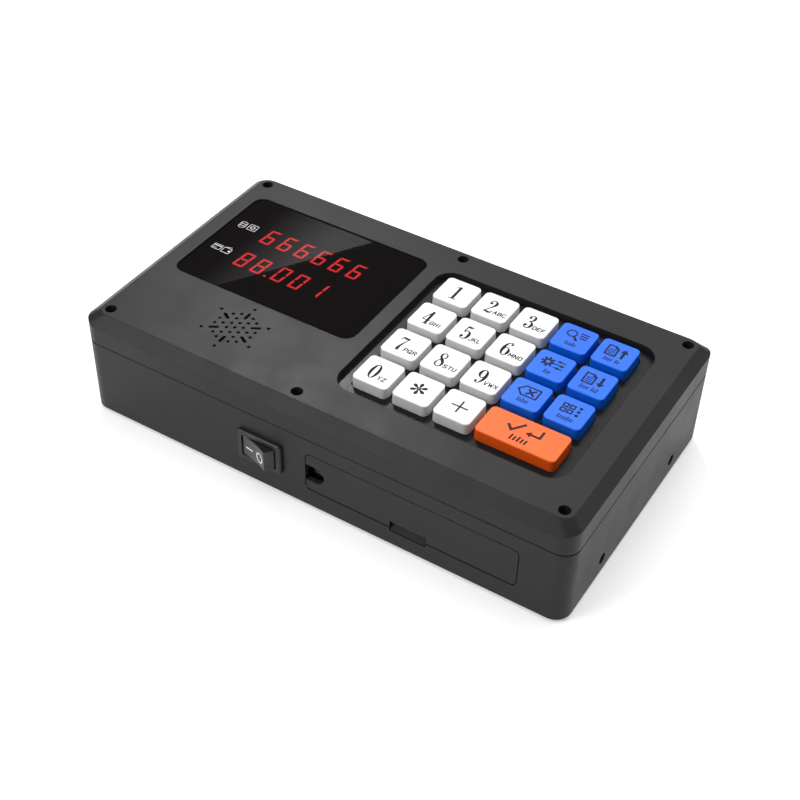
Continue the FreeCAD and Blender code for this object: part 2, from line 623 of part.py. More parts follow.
v0 = plate.Shape.Volume
key_windows("windows_white", "key_x0", "key_y0", "key_w", 3, 4)
key_windows("windows_blue", "key_x0 + 3 * key_px", "key_y0", "key_w", 2, 3)
key_windows("window_wide", "key_x0 + 3.5 * key_px", "key_y0 - 3 * key_py", "key_w + key_px", 1, 1)
cut_area = (v0 - plate.Shape.Volume) / D["plate_thk"]
one = (D["key_w"] + 2 * D["key_gap"]) * (D["key_d"] + 2 * D["key_gap"])
if cut_area < 19 * one * 0.9:
    raise RuntimeError("key windows are missing: %.0f of %.0f" % (cut_area, 20 * one))
s = sketch(plate, "plate_screw_holes", off=(0, 0, "top_z"))
for n, (x, y) in enumerate(KP):
    add_circle(s, 1.15, str(n), (x, y))
pocket(plate, s, "top_z - mat_z + 1")
place(plate)


def make_key(name, cx, cy, w, fw):
    """Keycap: drafted block with a rounded crown, a retaining flange under the
    plate, a hollow inside and a stem that presses the rubber dome."""
    b = new_body(name)
    z0 = plate_z + " - flange_gap"
    s = sketch(b, name + "_block", off=(0, 0, z0 + " - 0.1"))
    add_rect(s, w, "key_d", "key_r")
    pad(b, s, "key_top_z - (%s - 0.1)" % z0, taper="0 - key_draft")
    fillet(b, "key_top_r", lambda e: at_z(e, D["key_top_z"]), name + "_crown")
    s = sketch(b, name + "_flange", off=(0, 0, z0))
    add_rect(s, fw, "flange_d", 3.0)
    pad(b, s, "flange_thk", reverse=True)
    s = sketch(b, name + "_hollow", off=(0, 0, z0 + " - flange_thk"))
    add_rect(s, w + " - 2 * key_wall", "key_d - 2 * key_wall", "key_r - 1")
    pocket(b, s, "key_top_z - key_roof - (%s - flange_thk)" % z0, reverse=True)
    s = sketch(b, name + "_stem", off=(0, 0, z0 + " - flange_thk"))
    add_circle(s, "stem_r")
    pad(b, s, "key_top_z - key_roof + 0.3 - (%s - flange_thk)" % z0)
    place(b, cx, cy)


KEY_ROWS = [["key_1", "key_2", "key_3", "key_query", "key_page_up"],
            ["key_4", "key_5", "key_6", "key_set", "key_page_down"],
            ["key_7", "key_8", "key_9", "key_clear", "key_function"],
            ["key_0", "key_star", "key_plus"]]
for j, row in enumerate(KEY_ROWS):
    for i, nm in enumerate(row):
        make_key(nm, "key_x0 + %d * key_px" % i, "key_y0 - %d * key_py" % j, "key_w", "flange_w")
make_key("key_enter", "key_x0 + 3.5 * key_px", "key_y0 - 3 * key_py", "key_w + key_px", "flange_w + key_px")

# silicone dome sheet: a flat web with a hollow dome under each keycap stem
mat_box = doc.addObject("Part::Box", "mat_web")
for prop, e in (("Length", "mat_w"), ("Width", "mat_d"), ("Height", "mat_thk")):
    bind(mat_box, prop, e)
bind(mat_box, "Placement.Base.x", "key_x0 + 2 * key_px - mat_w / 2")
bind(mat_box, "Placement.Base.y", "key_y0 - 1.5 * key_py - mat_d / 2")
bind(mat_box, "Placement.Base.z", "mat_z")
dome_z = "(mat_z + mat_thk)"
dome_len = "(%s - flange_gap - flange_thk - 0.04 - %s)" % (plate_z, dome_z)
outer, inner = [mat_box], []
spots = [("key_x0 + %d * key_px" % i, "key_y0 - %d * key_py" % j) for j in range(4) for i in range(5) if not (j == 3 and i > 2)]
spots.append(("key_x0 + 3.5 * key_px", "key_y0 - 3 * key_py"))
for n, (x, y) in enumerate(spots):
    for lst, tag, r0, r1, zz, hh in ((outer, "dome", "dome_r0", "dome_r1", "(%s - 0.2)" % dome_z, "%s + 0.2" % dome_len),
                                     (inner, "bell", "dome_r0 - 0.8", "dome_r1 - 0.8", "(mat_z - 0.1)", "%s + mat_thk - 0.7" % dome_len)):
        c = doc.addObject("Part::Cone", "%s_%02d" % (tag, n))
        bind(c, "Radius1", r0)
        bind(c, "Radius2", r1)
        bind(c, "Height", hh)
        bind(c, "Placement.Base.x", x)
        bind(c, "Placement.Base.y", y)
        bind(c, "Placement.Base.z", zz)
        lst.append(c)
mat_sum = doc.addObject("Part::MultiFuse", "mat_solid")
mat_sum.Shapes = outer
bells = doc.addObject("Part::MultiFuse", "mat_bells")
bells.Shapes = inner
mat = doc.addObject("Part::Cut", "key_mat")
mat.Base, mat.Tool = mat_sum, bells
mat.Label = "key_mat"
PARTS["key_mat"] = mat
doc.recompute()
place(mat)

kpcb = new_body("keypad_board")
s = sketch(kpcb, "keypad_board_outline", off=("plate_cx", "rec_cy", "mat_z - pcb_thk"))
add_rect(s, "kpcb_w", "kpcb_d", 2.0)
pad(kpcb, s, "pcb_thk")
s = sketch(kpcb, "keypad_board_holes", off=(0, 0, "mat_z"))
for n, (x, y) in enumerate(KP):
    add_circle(s, 1.15, str(n), (x, y))
pocket(kpcb, s, "pcb_thk + 1")
place(kpcb)

# ---------------------------------------------------------------- loudspeaker
def revolve(body, name, pts):
    """Turned piece: profile (radius, z) revolved about the upright axis."""
    s = sketch(body, name, "XZ_Plane")
    add_poly(s, pts)
    r = body.newObject("PartDesign::Revolution", name + "_turn")
    r.Profile = s
    r.ReferenceAxis = (s, ["V_Axis"])
    r.Angle = 360.0
    doc.recompute()
    return r


spk = new_body("speaker_frame")
revolve(spk, "basket", [("spk_ring", 46.4), ("spk_ring", 47.7), ("spk_r - 0.6", 47.7), ("spk_r - 0.6", 46.9), (13.4, 46.9), (7.6, 40.6), (3.6, 40.6),
                        (3.6, 39.4), (8.4, 39.4), (14.6, 46.4)])
place(spk, "spk_cx", "spk_cy")
cone = new_body("speaker_cone")
revolve(cone, "cone_skin", [(0, 42.6), (3.2, 42.0), (13.2, 47.0), (14.0, 47.5), (14.0, 47.7), (13.0, 47.4), (3.2, 42.4), (0, 43.0)])
place(cone, "spk_cx", "spk_cy")
mag = new_body("speaker_magnet")
revolve(mag, "magnet", [(0, 31.8), (8.2, 31.8), (8.2, 39.4), (3.2, 39.4), (3.2, 41.4), (0, 41.4)])
place(mag, "spk_cx", "spk_cy")
cloth = new_body("speaker_cloth")
s = sketch(cloth, "cloth_disc", off=(0, 0, "top_z - roof_thk - 0.3"))
add_circle(s, "spk_ring - 0.6")
pad(cloth, s, 0.3)
place(cloth, "spk_cx", "spk_cy")

# -------------------------------------------------------------- rocker switch
sw = new_body("switch_housing")
s = sketch(sw, "bezel", "XZ_Plane", off=(0, 0, "bez_thk"))
add_rect(s, "bez_w", "bez_d", 1.2)
pad(sw, s, "bez_thk", reverse=True)
chamfer(sw, 0.5, lambda e: at_y(e, -D["bez_thk"]), "bezel_edge")
s = sketch(sw, "switch_body", "XZ_Plane", off=(0, 0, 0.2))
add_rect(s, "sw_body_w", "sw_body_d", 0.8)
pad(sw, s, "sw_body_len + 0.2", reverse=True)
s = sketch(sw, "switch_well", "XZ_Plane", off=(0, 0, "bez_thk"))
add_rect(s, "rock_open_w", "rock_open_d", 0.8)
pocket(sw, s, "bez_thk + 6")
s = sketch(sw, "switch_well_inner", "XZ_Plane", off=(0, 0, "well_lip"))
add_rect(s, "well_w", "rock_open_d", 0.8)
pocket(sw, s, "well_lip + 6")
s = sketch(sw, "switch_trunnion_bores", off=(0, 0, 0))
add_circle(s, "trun_r + trun_gap", at=(0, "rock_pivot"))
pocket(sw, s, 12.4, mid=True)
place(sw, "sw_cx", "0 - case_dep / 2", "sw_cz")

# rocker: a shallow hollow face between two tips, with ends that are turned about
# the trunnion line so the gap to the bezel stays even over the whole swing
rocker = new_body("rocker")
s = sketch(rocker, "rocker_profile")
h_, f_, d_ = D["rock_half"], D["rock_face"], D["rock_dip"]
r_end = math.hypot(h_, f_)
low_x, low_y = math.sqrt(r_end ** 2 - D["rock_low"] ** 2), -D["rock_low"]
mid_a = (math.atan2(-f_, h_) + math.atan2(low_y, low_x)) / 2
mid_x, mid_y = r_end * math.cos(mid_a), r_end * math.sin(mid_a)
K = Sketcher.Constraint
profile = [Part.Arc(V(-h_, -f_, 0), V(0, -d_, 0), V(h_, -f_, 0)),
           Part.Arc(V(h_, -f_, 0), V(mid_x, mid_y, 0), V(low_x, low_y, 0)),
           Part.LineSegment(V(low_x, low_y, 0), V(D["rock_back_half"], D["rock_back"], 0)),
           Part.LineSegment(V(D["rock_back_half"], D["rock_back"], 0), V(-D["rock_back_half"], D["rock_back"], 0)),
           Part.LineSegment(V(-D["rock_back_half"], D["rock_back"], 0), V(-low_x, low_y, 0)),
           Part.Arc(V(-low_x, low_y, 0), V(-mid_x, mid_y, 0), V(-h_, -f_, 0))]
for g_ in profile:
    s.addConstraint(K("Block", s.addGeometry(g_, False)))
pad(rocker, s, "rock_wid", mid=True)
fillet(rocker, 0.4, lambda e: e.BoundBox.YMax < -0.5 and (e.BoundBox.ZLength < 0.01 or e.BoundBox.YMax < -D["rock_dip"] + 0.3), "rocker_edges")
s = sketch(rocker, "rocker_trunnions")
add_circle(s, "trun_r")
pad(rocker, s, 12.2, mid=True)
rocker.Placement = Placement(V(D["sw_cx"], -D["case_dep"] / 2 + D["rock_pivot"] + D["y_frame"], D["sw_cz"]),
                             Rotation(V(0, 0, 1), -D["rock_swing"] / 2))
bind(rocker, "Placement.Base.x", "sw_cx")
bind(rocker, "Placement.Base.y", "0 - case_dep / 2 + rock_pivot + y_frame")
bind(rocker, "Placement.Base.z", "sw_cz")


def solids(name, shapes):
    """A node made of several like solids, set as one compound."""
    f = doc.addObject("Part::Feature", name)
    f.Shape = Part.makeCompound(shapes)
    f.Label = name
    f.Placement = Placement(V(0, D["y_frame"], 0), Rotation())
    PARTS[name] = f
    return f


def box(x0, x1, y0, y1, z0, z1):
    return Part.makeBox(x1 - x0, y1 - y0, z1 - z0, V(x0, y0, z0))


sx, sy, sz = D["sw_cx"], -D["case_dep"] / 2, D["sw_cz"]
blades = []
for dx in (-5.5, 5.5):
    blade = box(sx + dx - 0.4, sx + dx + 0.4, sy + D["sw_body_len"], sy + D["sw_body_len"] + 8.0, sz - 2.4, sz + 2.4)
    hole = Part.makeCylinder(0.9, 3, V(sx + dx - 1.5, sy + D["sw_body_len"] + 5.2, sz), V(1, 0, 0))
    blades.append(blade.cut(hole))
solids("switch_terminals", blades)

# --------------------------------------------------------------- battery door
door = new_body("battery_door")
dz = "((door_zlo + door_zhi) / 2)"
s = sketch(door, "door_panel", "XZ_Plane", off=("door_cx", dz, "case_dep / 2"))
add_rect(s, "door_w - 2 * door_gap", "door_zhi - door_zlo - 2 * door_gap", "door_r - door_gap")
pad(door, s, "door_thk", reverse=True)
s = sketch(door, "door_tongue", "XZ_Plane", off=("latch_cx", "(latch_zlo + door_gap + door_zlo + 3) / 2", "case_dep / 2"))
add_rect(s, "latch_w - 2 * door_gap", "door_zlo + 3 - latch_zlo - door_gap")
pad(door, s, "door_thk", reverse=True)
# thicker block behind the finger scoop
s = sketch(door, "door_block", "XZ_Plane", off=("latch_cx", "(door_zlo + 1.15 + 17.5) / 2", "case_dep / 2 - door_thk + 0.1"))
add_rect(s, "latch_w + 4", "17.5 - door_zlo - 1.15")
pad(door, s, 3.1, reverse=True)
# hooks that reach up behind the wall above the opening, and two stiffening ribs
yi = "(0 - case_dep / 2 + door_thk)"
zt = "(door_zhi - door_gap)"
for n, x in enumerate((14.0, 45.0, 78.0)):
    s = sketch(door, "door_hook%d" % n, "YZ_Plane", off=(0, 0, x))
    add_poly(s, [(yi + " - 0.1", zt + " - 4"), (yi + " + 1.9", zt + " - 4"), (yi + " + 1.9", zt + " + 3.2"), (yi + " + 0.45", zt + " + 3.2"),
                 (yi + " + 0.45", zt), (yi + " - 0.1", zt)], "k")
    pad(door, s, 10.0, mid=True)
for n, z in enumerate((20.5, 24.0)):
    s = sketch(door, "door_rib%d" % n, "XZ_Plane", off=("door_cx + 5", z, "case_dep / 2 - door_thk + 0.1"))
    add_rect(s, "door_w - 24", 1.0)
    pad(door, s, 1.3, reverse=True)
# finger scoop: flush at the foot of the tongue, 3 mm deep at its top
s = sketch(door, "door_scoop", "YZ_Plane", off=(0, 0, "latch_cx"))
add_poly(s, [("0 - case_dep / 2 - 0.5", "latch_zlo + door_gap"), ("0 - case_dep / 2", "latch_zlo + door_gap"),
             ("0 - case_dep / 2 + scoop", "latch_zhi"), ("0 - case_dep / 2 - 0.5", "latch_zhi")], "c")
pocket(door, s, "latch_w - 2 * door_gap", mid=True)
# cable notch at the left end
s = sketch(door, "door_notch", "XZ_Plane", off=("door_cx - door_w / 2 - 1 + (notch_w - notch_d / 2 + 1) / 2", "notch_cz", "case_dep / 2 + 1"))
add_rect(s, "notch_w - notch_d / 2 + 1", "notch_d")
pocket(door, s, "door_thk + 4")
s = sketch(door, "door_notch_end", "XZ_Plane", off=("door_cx - door_w / 2 + notch_w - notch_d / 2", "notch_cz", "case_dep / 2 + 1"))
add_circle(s, "notch_d / 2")
pocket(door, s, "door_thk + 4")
place(door)

# --------------------------------------------------------------- battery tray
tray = new_body("battery_tray")
s = sketch(tray, "tray_outer", "XZ_Plane", off=("door_cx", 21.1, "case_dep / 2 - wall - 0.3"))
add_rect(s, "door_w + 4", 28.2, 2.0)
pad(tray, s, 42.5, reverse=True)
s = sketch(tray, "tray_bay", "XZ_Plane", off=("door_cx", 21.1, "case_dep / 2 - wall - 0.3"))
add_rect(s, "door_w + 1", 25.2, 1.0)
pocket(tray, s, 41.0)
s = sketch(tray, "tray_wire_slot", "XZ_Plane", off=(9.5, 24.5, 24.0))
add_rect(s, 8.0, 6.0)
pocket(tray, s, 10.0)
s = sketch(tray, "tray_legs", off=(0, 0, "foot_gap + floor_thk"))
for n, (x, y) in enumerate(((2.0, -56.0), (88.0, -56.0), (2.0, -24.0), (88.0, -24.0))):
    add_circle(s, 2.5, str(n), (x, y))
pad(tray, s, 4.0)
s = sketch(tray, "tray_board_posts", off=(0, 0, 8.4))
for n, (x, y) in enumerate(((1.0, -42.0), (9.4, -42.0), (9.4, -55.0))):
    add_circle(s, 1.8, str(n), (x, y))
pad(tray, s, 4.6)
s = sketch(tray, "tray_divider", off=(14.2, -45.0, 8.4))
add_rect(s, 1.2, 24.0)
pad(tray, s, 12.0)
place(tray)

pack = new_body("battery_pack")
s = sketch(pack, "pack_profile", "YZ_Plane", off=(0, 0, 17.0))
add_rect(s, 37.2, 18.6, 9.2)
pad(pack, s, 67.0)
fillet(pack, 1.0, lambda e: (abs(e.BoundBox.XMin - 17) < 1e-3 and e.BoundBox.XLength < 1e-3) or (abs(e.BoundBox.XMin - 84) < 1e-3 and e.BoundBox.XLength < 1e-3), "pack_ends")
place(pack, 0, -39.0, 17.9)

# ------------------------------------------------------------- charging socket
jack = new_body("charge_socket")
s = sketch(jack, "socket_block", "XZ_Plane", off=(0, 0, 0))
add_rect(s, 9.0, 10.6, 0.6)
pad(jack, s, 13.0, reverse=True)
s = sketch(jack, "socket_nose", "XZ_Plane", off=(0, 0, 1.2))
add_circle(s, 3.9)
pad(jack, s, 1.3, reverse=True)
s = sketch(jack, "socket_bore", "XZ_Plane", off=(0, 0, 1.2))
add_circle(s, 2.85)
pocket(jack, s, 10.2)
s = sketch(jack, "socket_pin", "XZ_Plane", off=(0, 0, 0.4))
add_circle(s, 1.0)
pad(jack, s, 10.0, reverse=True)
place(jack, 2.3, -57.6, 19.9)
jb = new_body("socket_board")
s = sketch(jb, "socket_board_outline", off=(0, 0, 13.0))
add_rect(s, 14.4, 20.0, 0.6)
pad(jb, s, 1.6)
place(jb, 5.2, -48.4)

# ------------------------------------------------------------------ main board
mb = new_body("main_board")
s = sketch(mb, "main_board_outline", off=(-61.0, 20.0, 10.0))
add_rect(s, 86.0, 56.0, 2.0)
pad(mb, s, "pcb_thk")
s = sketch(mb, "main_board_holes", off=(0, 0, 10.0))
for n, (x, y) in enumerate(MB):
    add_circle(s, 1.3, str(n), (x, y))
pocket(mb, s, "pcb_thk + 1", reverse=True)
place(mb)
zb = 11.6
solids("board_chips", [box(-70, -56, 14, 28, zb, zb + 1.6), box(-88, -80, 30, 36, zb, zb + 1.5), box(-46, -40, 34, 42, zb, zb + 1.5),
                       box(-92, -86, 4, 12, zb, zb + 1.2), box(-48, -42, 6, 11, zb, zb + 1.4), box(-80, -74, 2, 5, zb, zb + 1.0)])
solids("board_capacitors", [Part.makeCylinder(4.0, 10.0, V(x, y, zb)) for x, y in ((-34, 10), (-34, 20), (-94, 24))])
CONN = {"disp": (-75, 40, 17, 5), "keys": (-27, 30, 5, 17), "spk": (-60, -3, 8, 5), "bat": (-34, -3, 8, 5), "sw": (-46, -3, 8, 5)}
solids("board_connectors", [box(x - w / 2.0, x + w / 2.0, y - d / 2.0, y + d / 2.0, zb, zb + 5.8) for x, y, w, d in CONN.values()])


# ------------------------------------------------------------------ wire looms
def tube(points, r):
    """Round wire along straight runs joined by tangent arcs."""
    P = [V(*p) for p in points]
    edges, last = [], P[0]
    for i in range(1, len(P) - 1):
        a, b = (P[i - 1] - P[i]), (P[i + 1] - P[i])
        la, lb = a.Length, b.Length
        a.normalize()
        b.normalize()
        ang = math.pi - a.getAngle(b)
        cut = 0.45 * min(la, lb)
        rad = cut / math.tan(ang / 2)
        p0, p1 = P[i] + a * cut, P[i] + b * cut
        bis = a + b
        bis.normalize()
        mid = P[i] + bis * (rad / math.cos(ang / 2) - rad)
        if (p0 - last).Length > 1e-6:
            edges.append(Part.LineSegment(last, p0).toShape())
        edges.append(Part.Arc(p0, mid, p1).toShape())
        last = p1
    edges.append(Part.LineSegment(last, P[-1]).toShape())
    path = Part.Wire(edges)
    t = P[1] - P[0]
    prof = Part.Wire([Part.Circle(P[0], t, r).toShape()])
    out = path.makePipeShell([prof], True, True)
    want = math.pi * r * r * path.Length
    if abs(out.Volume - want) > 0.03 * want:
        raise RuntimeError("wire volume %.1f, expected %.1f" % (out.Volume, want))
    return out


def strip(pts, y0, y1, thk=0.8):
    """Flat ribbon: a square-cornered run in the XZ plane, y0 to y1 wide."""
    out = None
    for (xa, za), (xb, zb_) in zip(pts, pts[1:]):
        h2 = thk / 2.0
        if xa == xb:
            top = max(za, zb_) + (h2 if (max(za, zb_)) not in (pts[0][1],) else 0)
            b_ = box(xa - h2, xa + h2, y0, y1, min(za, zb_) - (h2 if min(za, zb_) != pts[-1][1] else 0), top)
        else:
            b_ = box(min(xa, xb) - h2, max(xa, xb) + h2, y0, y1, za - h2, za + h2)
        out = b_ if out is None else out.fuse(b_)
    return out.removeSplitter()


solids("display_ribbon", [strip([(-69, 40.0), (-69, 28.0), (-75, 28.0), (-75, 17.4)], 38.4, 41.6)])
solids("keypad_ribbon", [strip([(2, 39.0), (2, 27.0), (-27, 27.0), (-27, 17.4)], 22.0, 38.0)])
zc = zb + 5.8
solids("battery_wires", [tube([(16.85, -33 + o, 23.2), (9.5 + o, -33 + o, 24.5), (9.5 + o, -12 + o, 24.5), (-34 + o * 1.4, -12 + o, 24.5), (-34 + o * 1.4, -3, 24.5), (-34 + o * 1.4, -3, zc)], 0.6)
                         for o in (-1.0, 1.0)])
solids("switch_wires", [tube([(sx + o * 5.5, sy + D["sw_body_len"] + 8.0, sz), (sx + o * 5.5, -28.0, sz), (-46 + o * 1.6, -14.0, sz + 3 + o), (-46 + o * 1.6, -3, sz + 2), (-46 + o * 1.6, -3.0, zc)][:4] + [(-46 + o * 1.6, -3.0, zc)], 0.6)
                        for o in (-1.0, 1.0)])
solids("speaker_wires", [tube([(-54.6 + o * 1.6, -28.4, 36.0), (-54.6 + o * 1.6, -20.0, 36.0), (-60 + o * 1.6, -8.0, 31.0), (-60 + o * 1.6, -3.0, 26.0), (-60 + o * 1.6, -3.0, zc)], 0.5)
                         for o in (-1.0, 1.0)])


# -------------------------------------------------------------------- fasteners
def pan_screw(x, y, z_seat, r_head, thk, r_shank, length, up=False):
    """Pan-head screw with a cross recess; z_seat is the plane under its head."""
    head = Part.makeCylinder(r_head, thk, V(0, 0, 0))
    head = head.makeFillet(thk * 0.35, [e for e in head.Edges if at_z(e, thk)])
    w, ln = r_head * 0.26, r_head * 1.15
    cross = Part.makeBox(ln, w, thk, V(-ln / 2, -w / 2, thk * 0.45)).fuse(Part.makeBox(w, ln, thk, V(-w / 2, -ln / 2, thk * 0.45)))
    body = head.cut(cross).fuse(Part.makeCylinder(r_shank, length, V(0, 0, -length))).removeSplitter()
    if up:
        body.rotate(V(0, 0, 0), V(1, 0, 0), 180)
    body.translate(V(x, y, z_seat))
    return body


solids("cover_screws", [pan_screw(val(x), val(y), D["scr_seat_z"], D["scr_head"], D["scr_head_thk"], D["scr_shank"] - 0.03,
                                  D["scr_seat_z"] - D["scr_tip_z"]) for x, y in SCREWS])
solids("main_board_screws", [pan_screw(val(x), val(y), zb, 2.2, 1.6, 0.97, 6.0) for x, y in MB])
solids("display_screws", [pan_screw(val(x), val(y), D["disp_pcb_z"], 1.9, 1.4, 0.87, 6.0, up=True) for x, y in DP])
solids("keypad_screws", [pan_screw(val(x), val(y), D["mat_z"] - D["pcb_thk"], 1.9, 1.4, 0.87,
                                   D["top_z"] - D["roof_thk"] + 1.9 - (D["mat_z"] - D["pcb_thk"]), up=True) for x, y in KP])
feet = []
for fx in (-1, 1):
    for fy in (-1, 1):
        c = Part.makeCylinder(D["foot_r"], D["foot_gap"] + D["foot_sink"], V(fx * D["foot_x"], fy * D["foot_y"], 0))
        feet.append(c.makeChamfer(0.5, [e for e in c.Edges if at_z(e, 0)]))
solids("rubber_feet", feet)

# ---------------------------------------------------------------------- write
doc.recompute()
bad = [o.Name for o in doc.Objects if "Invalid" in o.State or "Error" in o.State]
if bad:
    raise RuntimeError("failed objects: %s" % bad)
for name, obj in PARTS.items():
    sh = obj.Shape
    if sh.isNull() or not sh.isValid() or not sh.Solids:
        raise RuntimeError("bad shape: %s" % name)
os.makedirs("parts", exist_ok=True)
for name, obj in PARTS.items():
    obj.Shape.exportStep("parts/%s.step" % name)
    bb = obj.Shape.BoundBox
    print("%-20s solids %2d  vol %9.1f  X %7.2f %7.2f  Y %7.2f %7.2f  Z %6.2f %6.2f" % (
        name, len(obj.Shape.Solids), obj.Shape.Volume, bb.XMin, bb.XMax, bb.YMin, bb.YMax, bb.ZMin, bb.ZMax))
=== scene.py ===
import json
import math

import bmesh
import bpy
from mathutils import Matrix, Vector


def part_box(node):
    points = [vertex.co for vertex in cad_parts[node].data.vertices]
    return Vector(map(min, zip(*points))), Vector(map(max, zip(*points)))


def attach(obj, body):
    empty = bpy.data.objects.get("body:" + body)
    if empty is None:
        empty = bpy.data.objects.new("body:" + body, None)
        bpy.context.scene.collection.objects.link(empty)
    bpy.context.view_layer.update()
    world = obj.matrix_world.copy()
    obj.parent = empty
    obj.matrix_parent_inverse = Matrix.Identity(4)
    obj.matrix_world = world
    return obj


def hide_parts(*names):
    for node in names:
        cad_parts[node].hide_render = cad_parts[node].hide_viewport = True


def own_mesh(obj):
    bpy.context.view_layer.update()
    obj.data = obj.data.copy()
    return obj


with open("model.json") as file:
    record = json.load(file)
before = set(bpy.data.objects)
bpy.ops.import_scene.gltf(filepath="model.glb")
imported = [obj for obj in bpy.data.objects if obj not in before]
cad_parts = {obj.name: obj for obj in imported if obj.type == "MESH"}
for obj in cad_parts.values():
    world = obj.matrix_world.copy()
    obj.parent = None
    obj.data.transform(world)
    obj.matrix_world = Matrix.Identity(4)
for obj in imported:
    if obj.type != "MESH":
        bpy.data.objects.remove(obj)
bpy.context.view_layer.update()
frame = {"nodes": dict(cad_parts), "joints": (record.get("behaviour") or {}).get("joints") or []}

N = frame["nodes"]
MM = 0.001
scene = bpy.context.scene


# ------------------------------------------------------------------ materials
def lin(r, g, b):
    return tuple((v / 255 / 12.92) if v / 255 <= 0.04045 else ((v / 255 + 0.055) / 1.055) ** 2.4 for v in (r, g, b)) + (1.0,)


class Surface:
    """A Principled material and the few node groups of detail that every finish here uses."""

    def __init__(self, name):
        self.mat = bpy.data.materials.new(name)
        self.mat.use_nodes = True
        self.nt = self.mat.node_tree
        self.p = self.nt.nodes["Principled BSDF"]
        self.co = self.node("ShaderNodeTexCoord").outputs["Object"]
        self.height = None

    def node(self, kind, **props):
        n = self.nt.nodes.new(kind)
        for k, v in props.items():
            setattr(n, k, v)
        return n

    def link(self, a, b):
        self.nt.links.new(a, b)

    def noise(self, scale, detail=2.0, rough=0.5, stretch=None, kind="FBM"):
        n = self.node("ShaderNodeTexNoise")
        n.inputs["Scale"].default_value = scale
        n.inputs["Detail"].default_value = detail
        n.inputs["Roughness"].default_value = rough
        src = self.co
        if stretch:
            m = self.node("ShaderNodeMapping")
            m.inputs["Scale"].default_value = stretch
            self.link(self.co, m.inputs["Vector"])
            src = m.outputs["Vector"]
        self.link(src, n.inputs["Vector"])
        return n.outputs["Fac"]

    def voronoi(self, scale, feature="F1", randomness=1.0):
        n = self.node("ShaderNodeTexVoronoi", feature=feature)
        n.inputs["Scale"].default_value = scale
        n.inputs["Randomness"].default_value = randomness
        self.link(self.co, n.inputs["Vector"])
        return n.outputs["Distance"]

    def span(self, fac, lo, hi, f0=0.0, f1=1.0):
        n = self.node("ShaderNodeMapRange")
        n.inputs["From Min"].default_value = f0
        n.inputs["From Max"].default_value = f1
        n.inputs["To Min"].default_value = lo
        n.inputs["To Max"].default_value = hi
        self.link(fac, n.inputs["Value"])
        return n.outputs["Result"]

    def blend(self, fac, a, b):
        n = self.node("ShaderNodeMix", data_type="RGBA")
        self.link(fac, n.inputs["Factor"])
        for v, s in ((a, n.inputs[6]), (b, n.inputs[7])):
            if isinstance(v, tuple):
                s.default_value = v
            else:
                self.link(v, s)
        return n.outputs[2]

    def bump(self, fac, strength, dist):
        n = self.node("ShaderNodeBump")
        n.inputs["Strength"].default_value = strength
        n.inputs["Distance"].default_value = dist
        self.link(fac, n.inputs["Height"])
        if self.height is not None:
            self.link(self.height, n.inputs["Normal"])
        self.height = n.outputs["Normal"]
        self.link(self.height, self.p.inputs["Normal"])

    def round_edges(self, radius):
        n = self.node("ShaderNodeBevel", samples=6)
        n.inputs["Radius"].default_value = radius
        self.height = n.outputs["Normal"]
        self.link(self.height, self.p.inputs["Normal"])

    def edges(self, radius, lo=0.02, hi=0.35):
        """0 on flat areas, up to 1 on the outside and inside of edges."""
        b = self.node("ShaderNodeBevel", samples=4)
        b.inputs["Radius"].default_value = radius
        g = self.node("ShaderNodeNewGeometry")
        d = self.node("ShaderNodeVectorMath", operation="DOT_PRODUCT")
        self.link(b.outputs["Normal"], d.inputs[0])
        self.link(g.outputs["True Normal"], d.inputs[1])
        return self.span(d.outputs["Value"], 1.0, 0.0, 1.0 - hi, 1.0 - lo)

    def color(self, c):
        if isinstance(c, tuple):
            self.p.inputs["Base Color"].default_value = c
        else:
            self.link(c, self.p.inputs["Base Color"])

    def rough(self, r):
        if isinstance(r, float):
            self.p.inputs["Roughness"].default_value = r
        else:
            self.link(r, self.p.inputs["Roughness"])


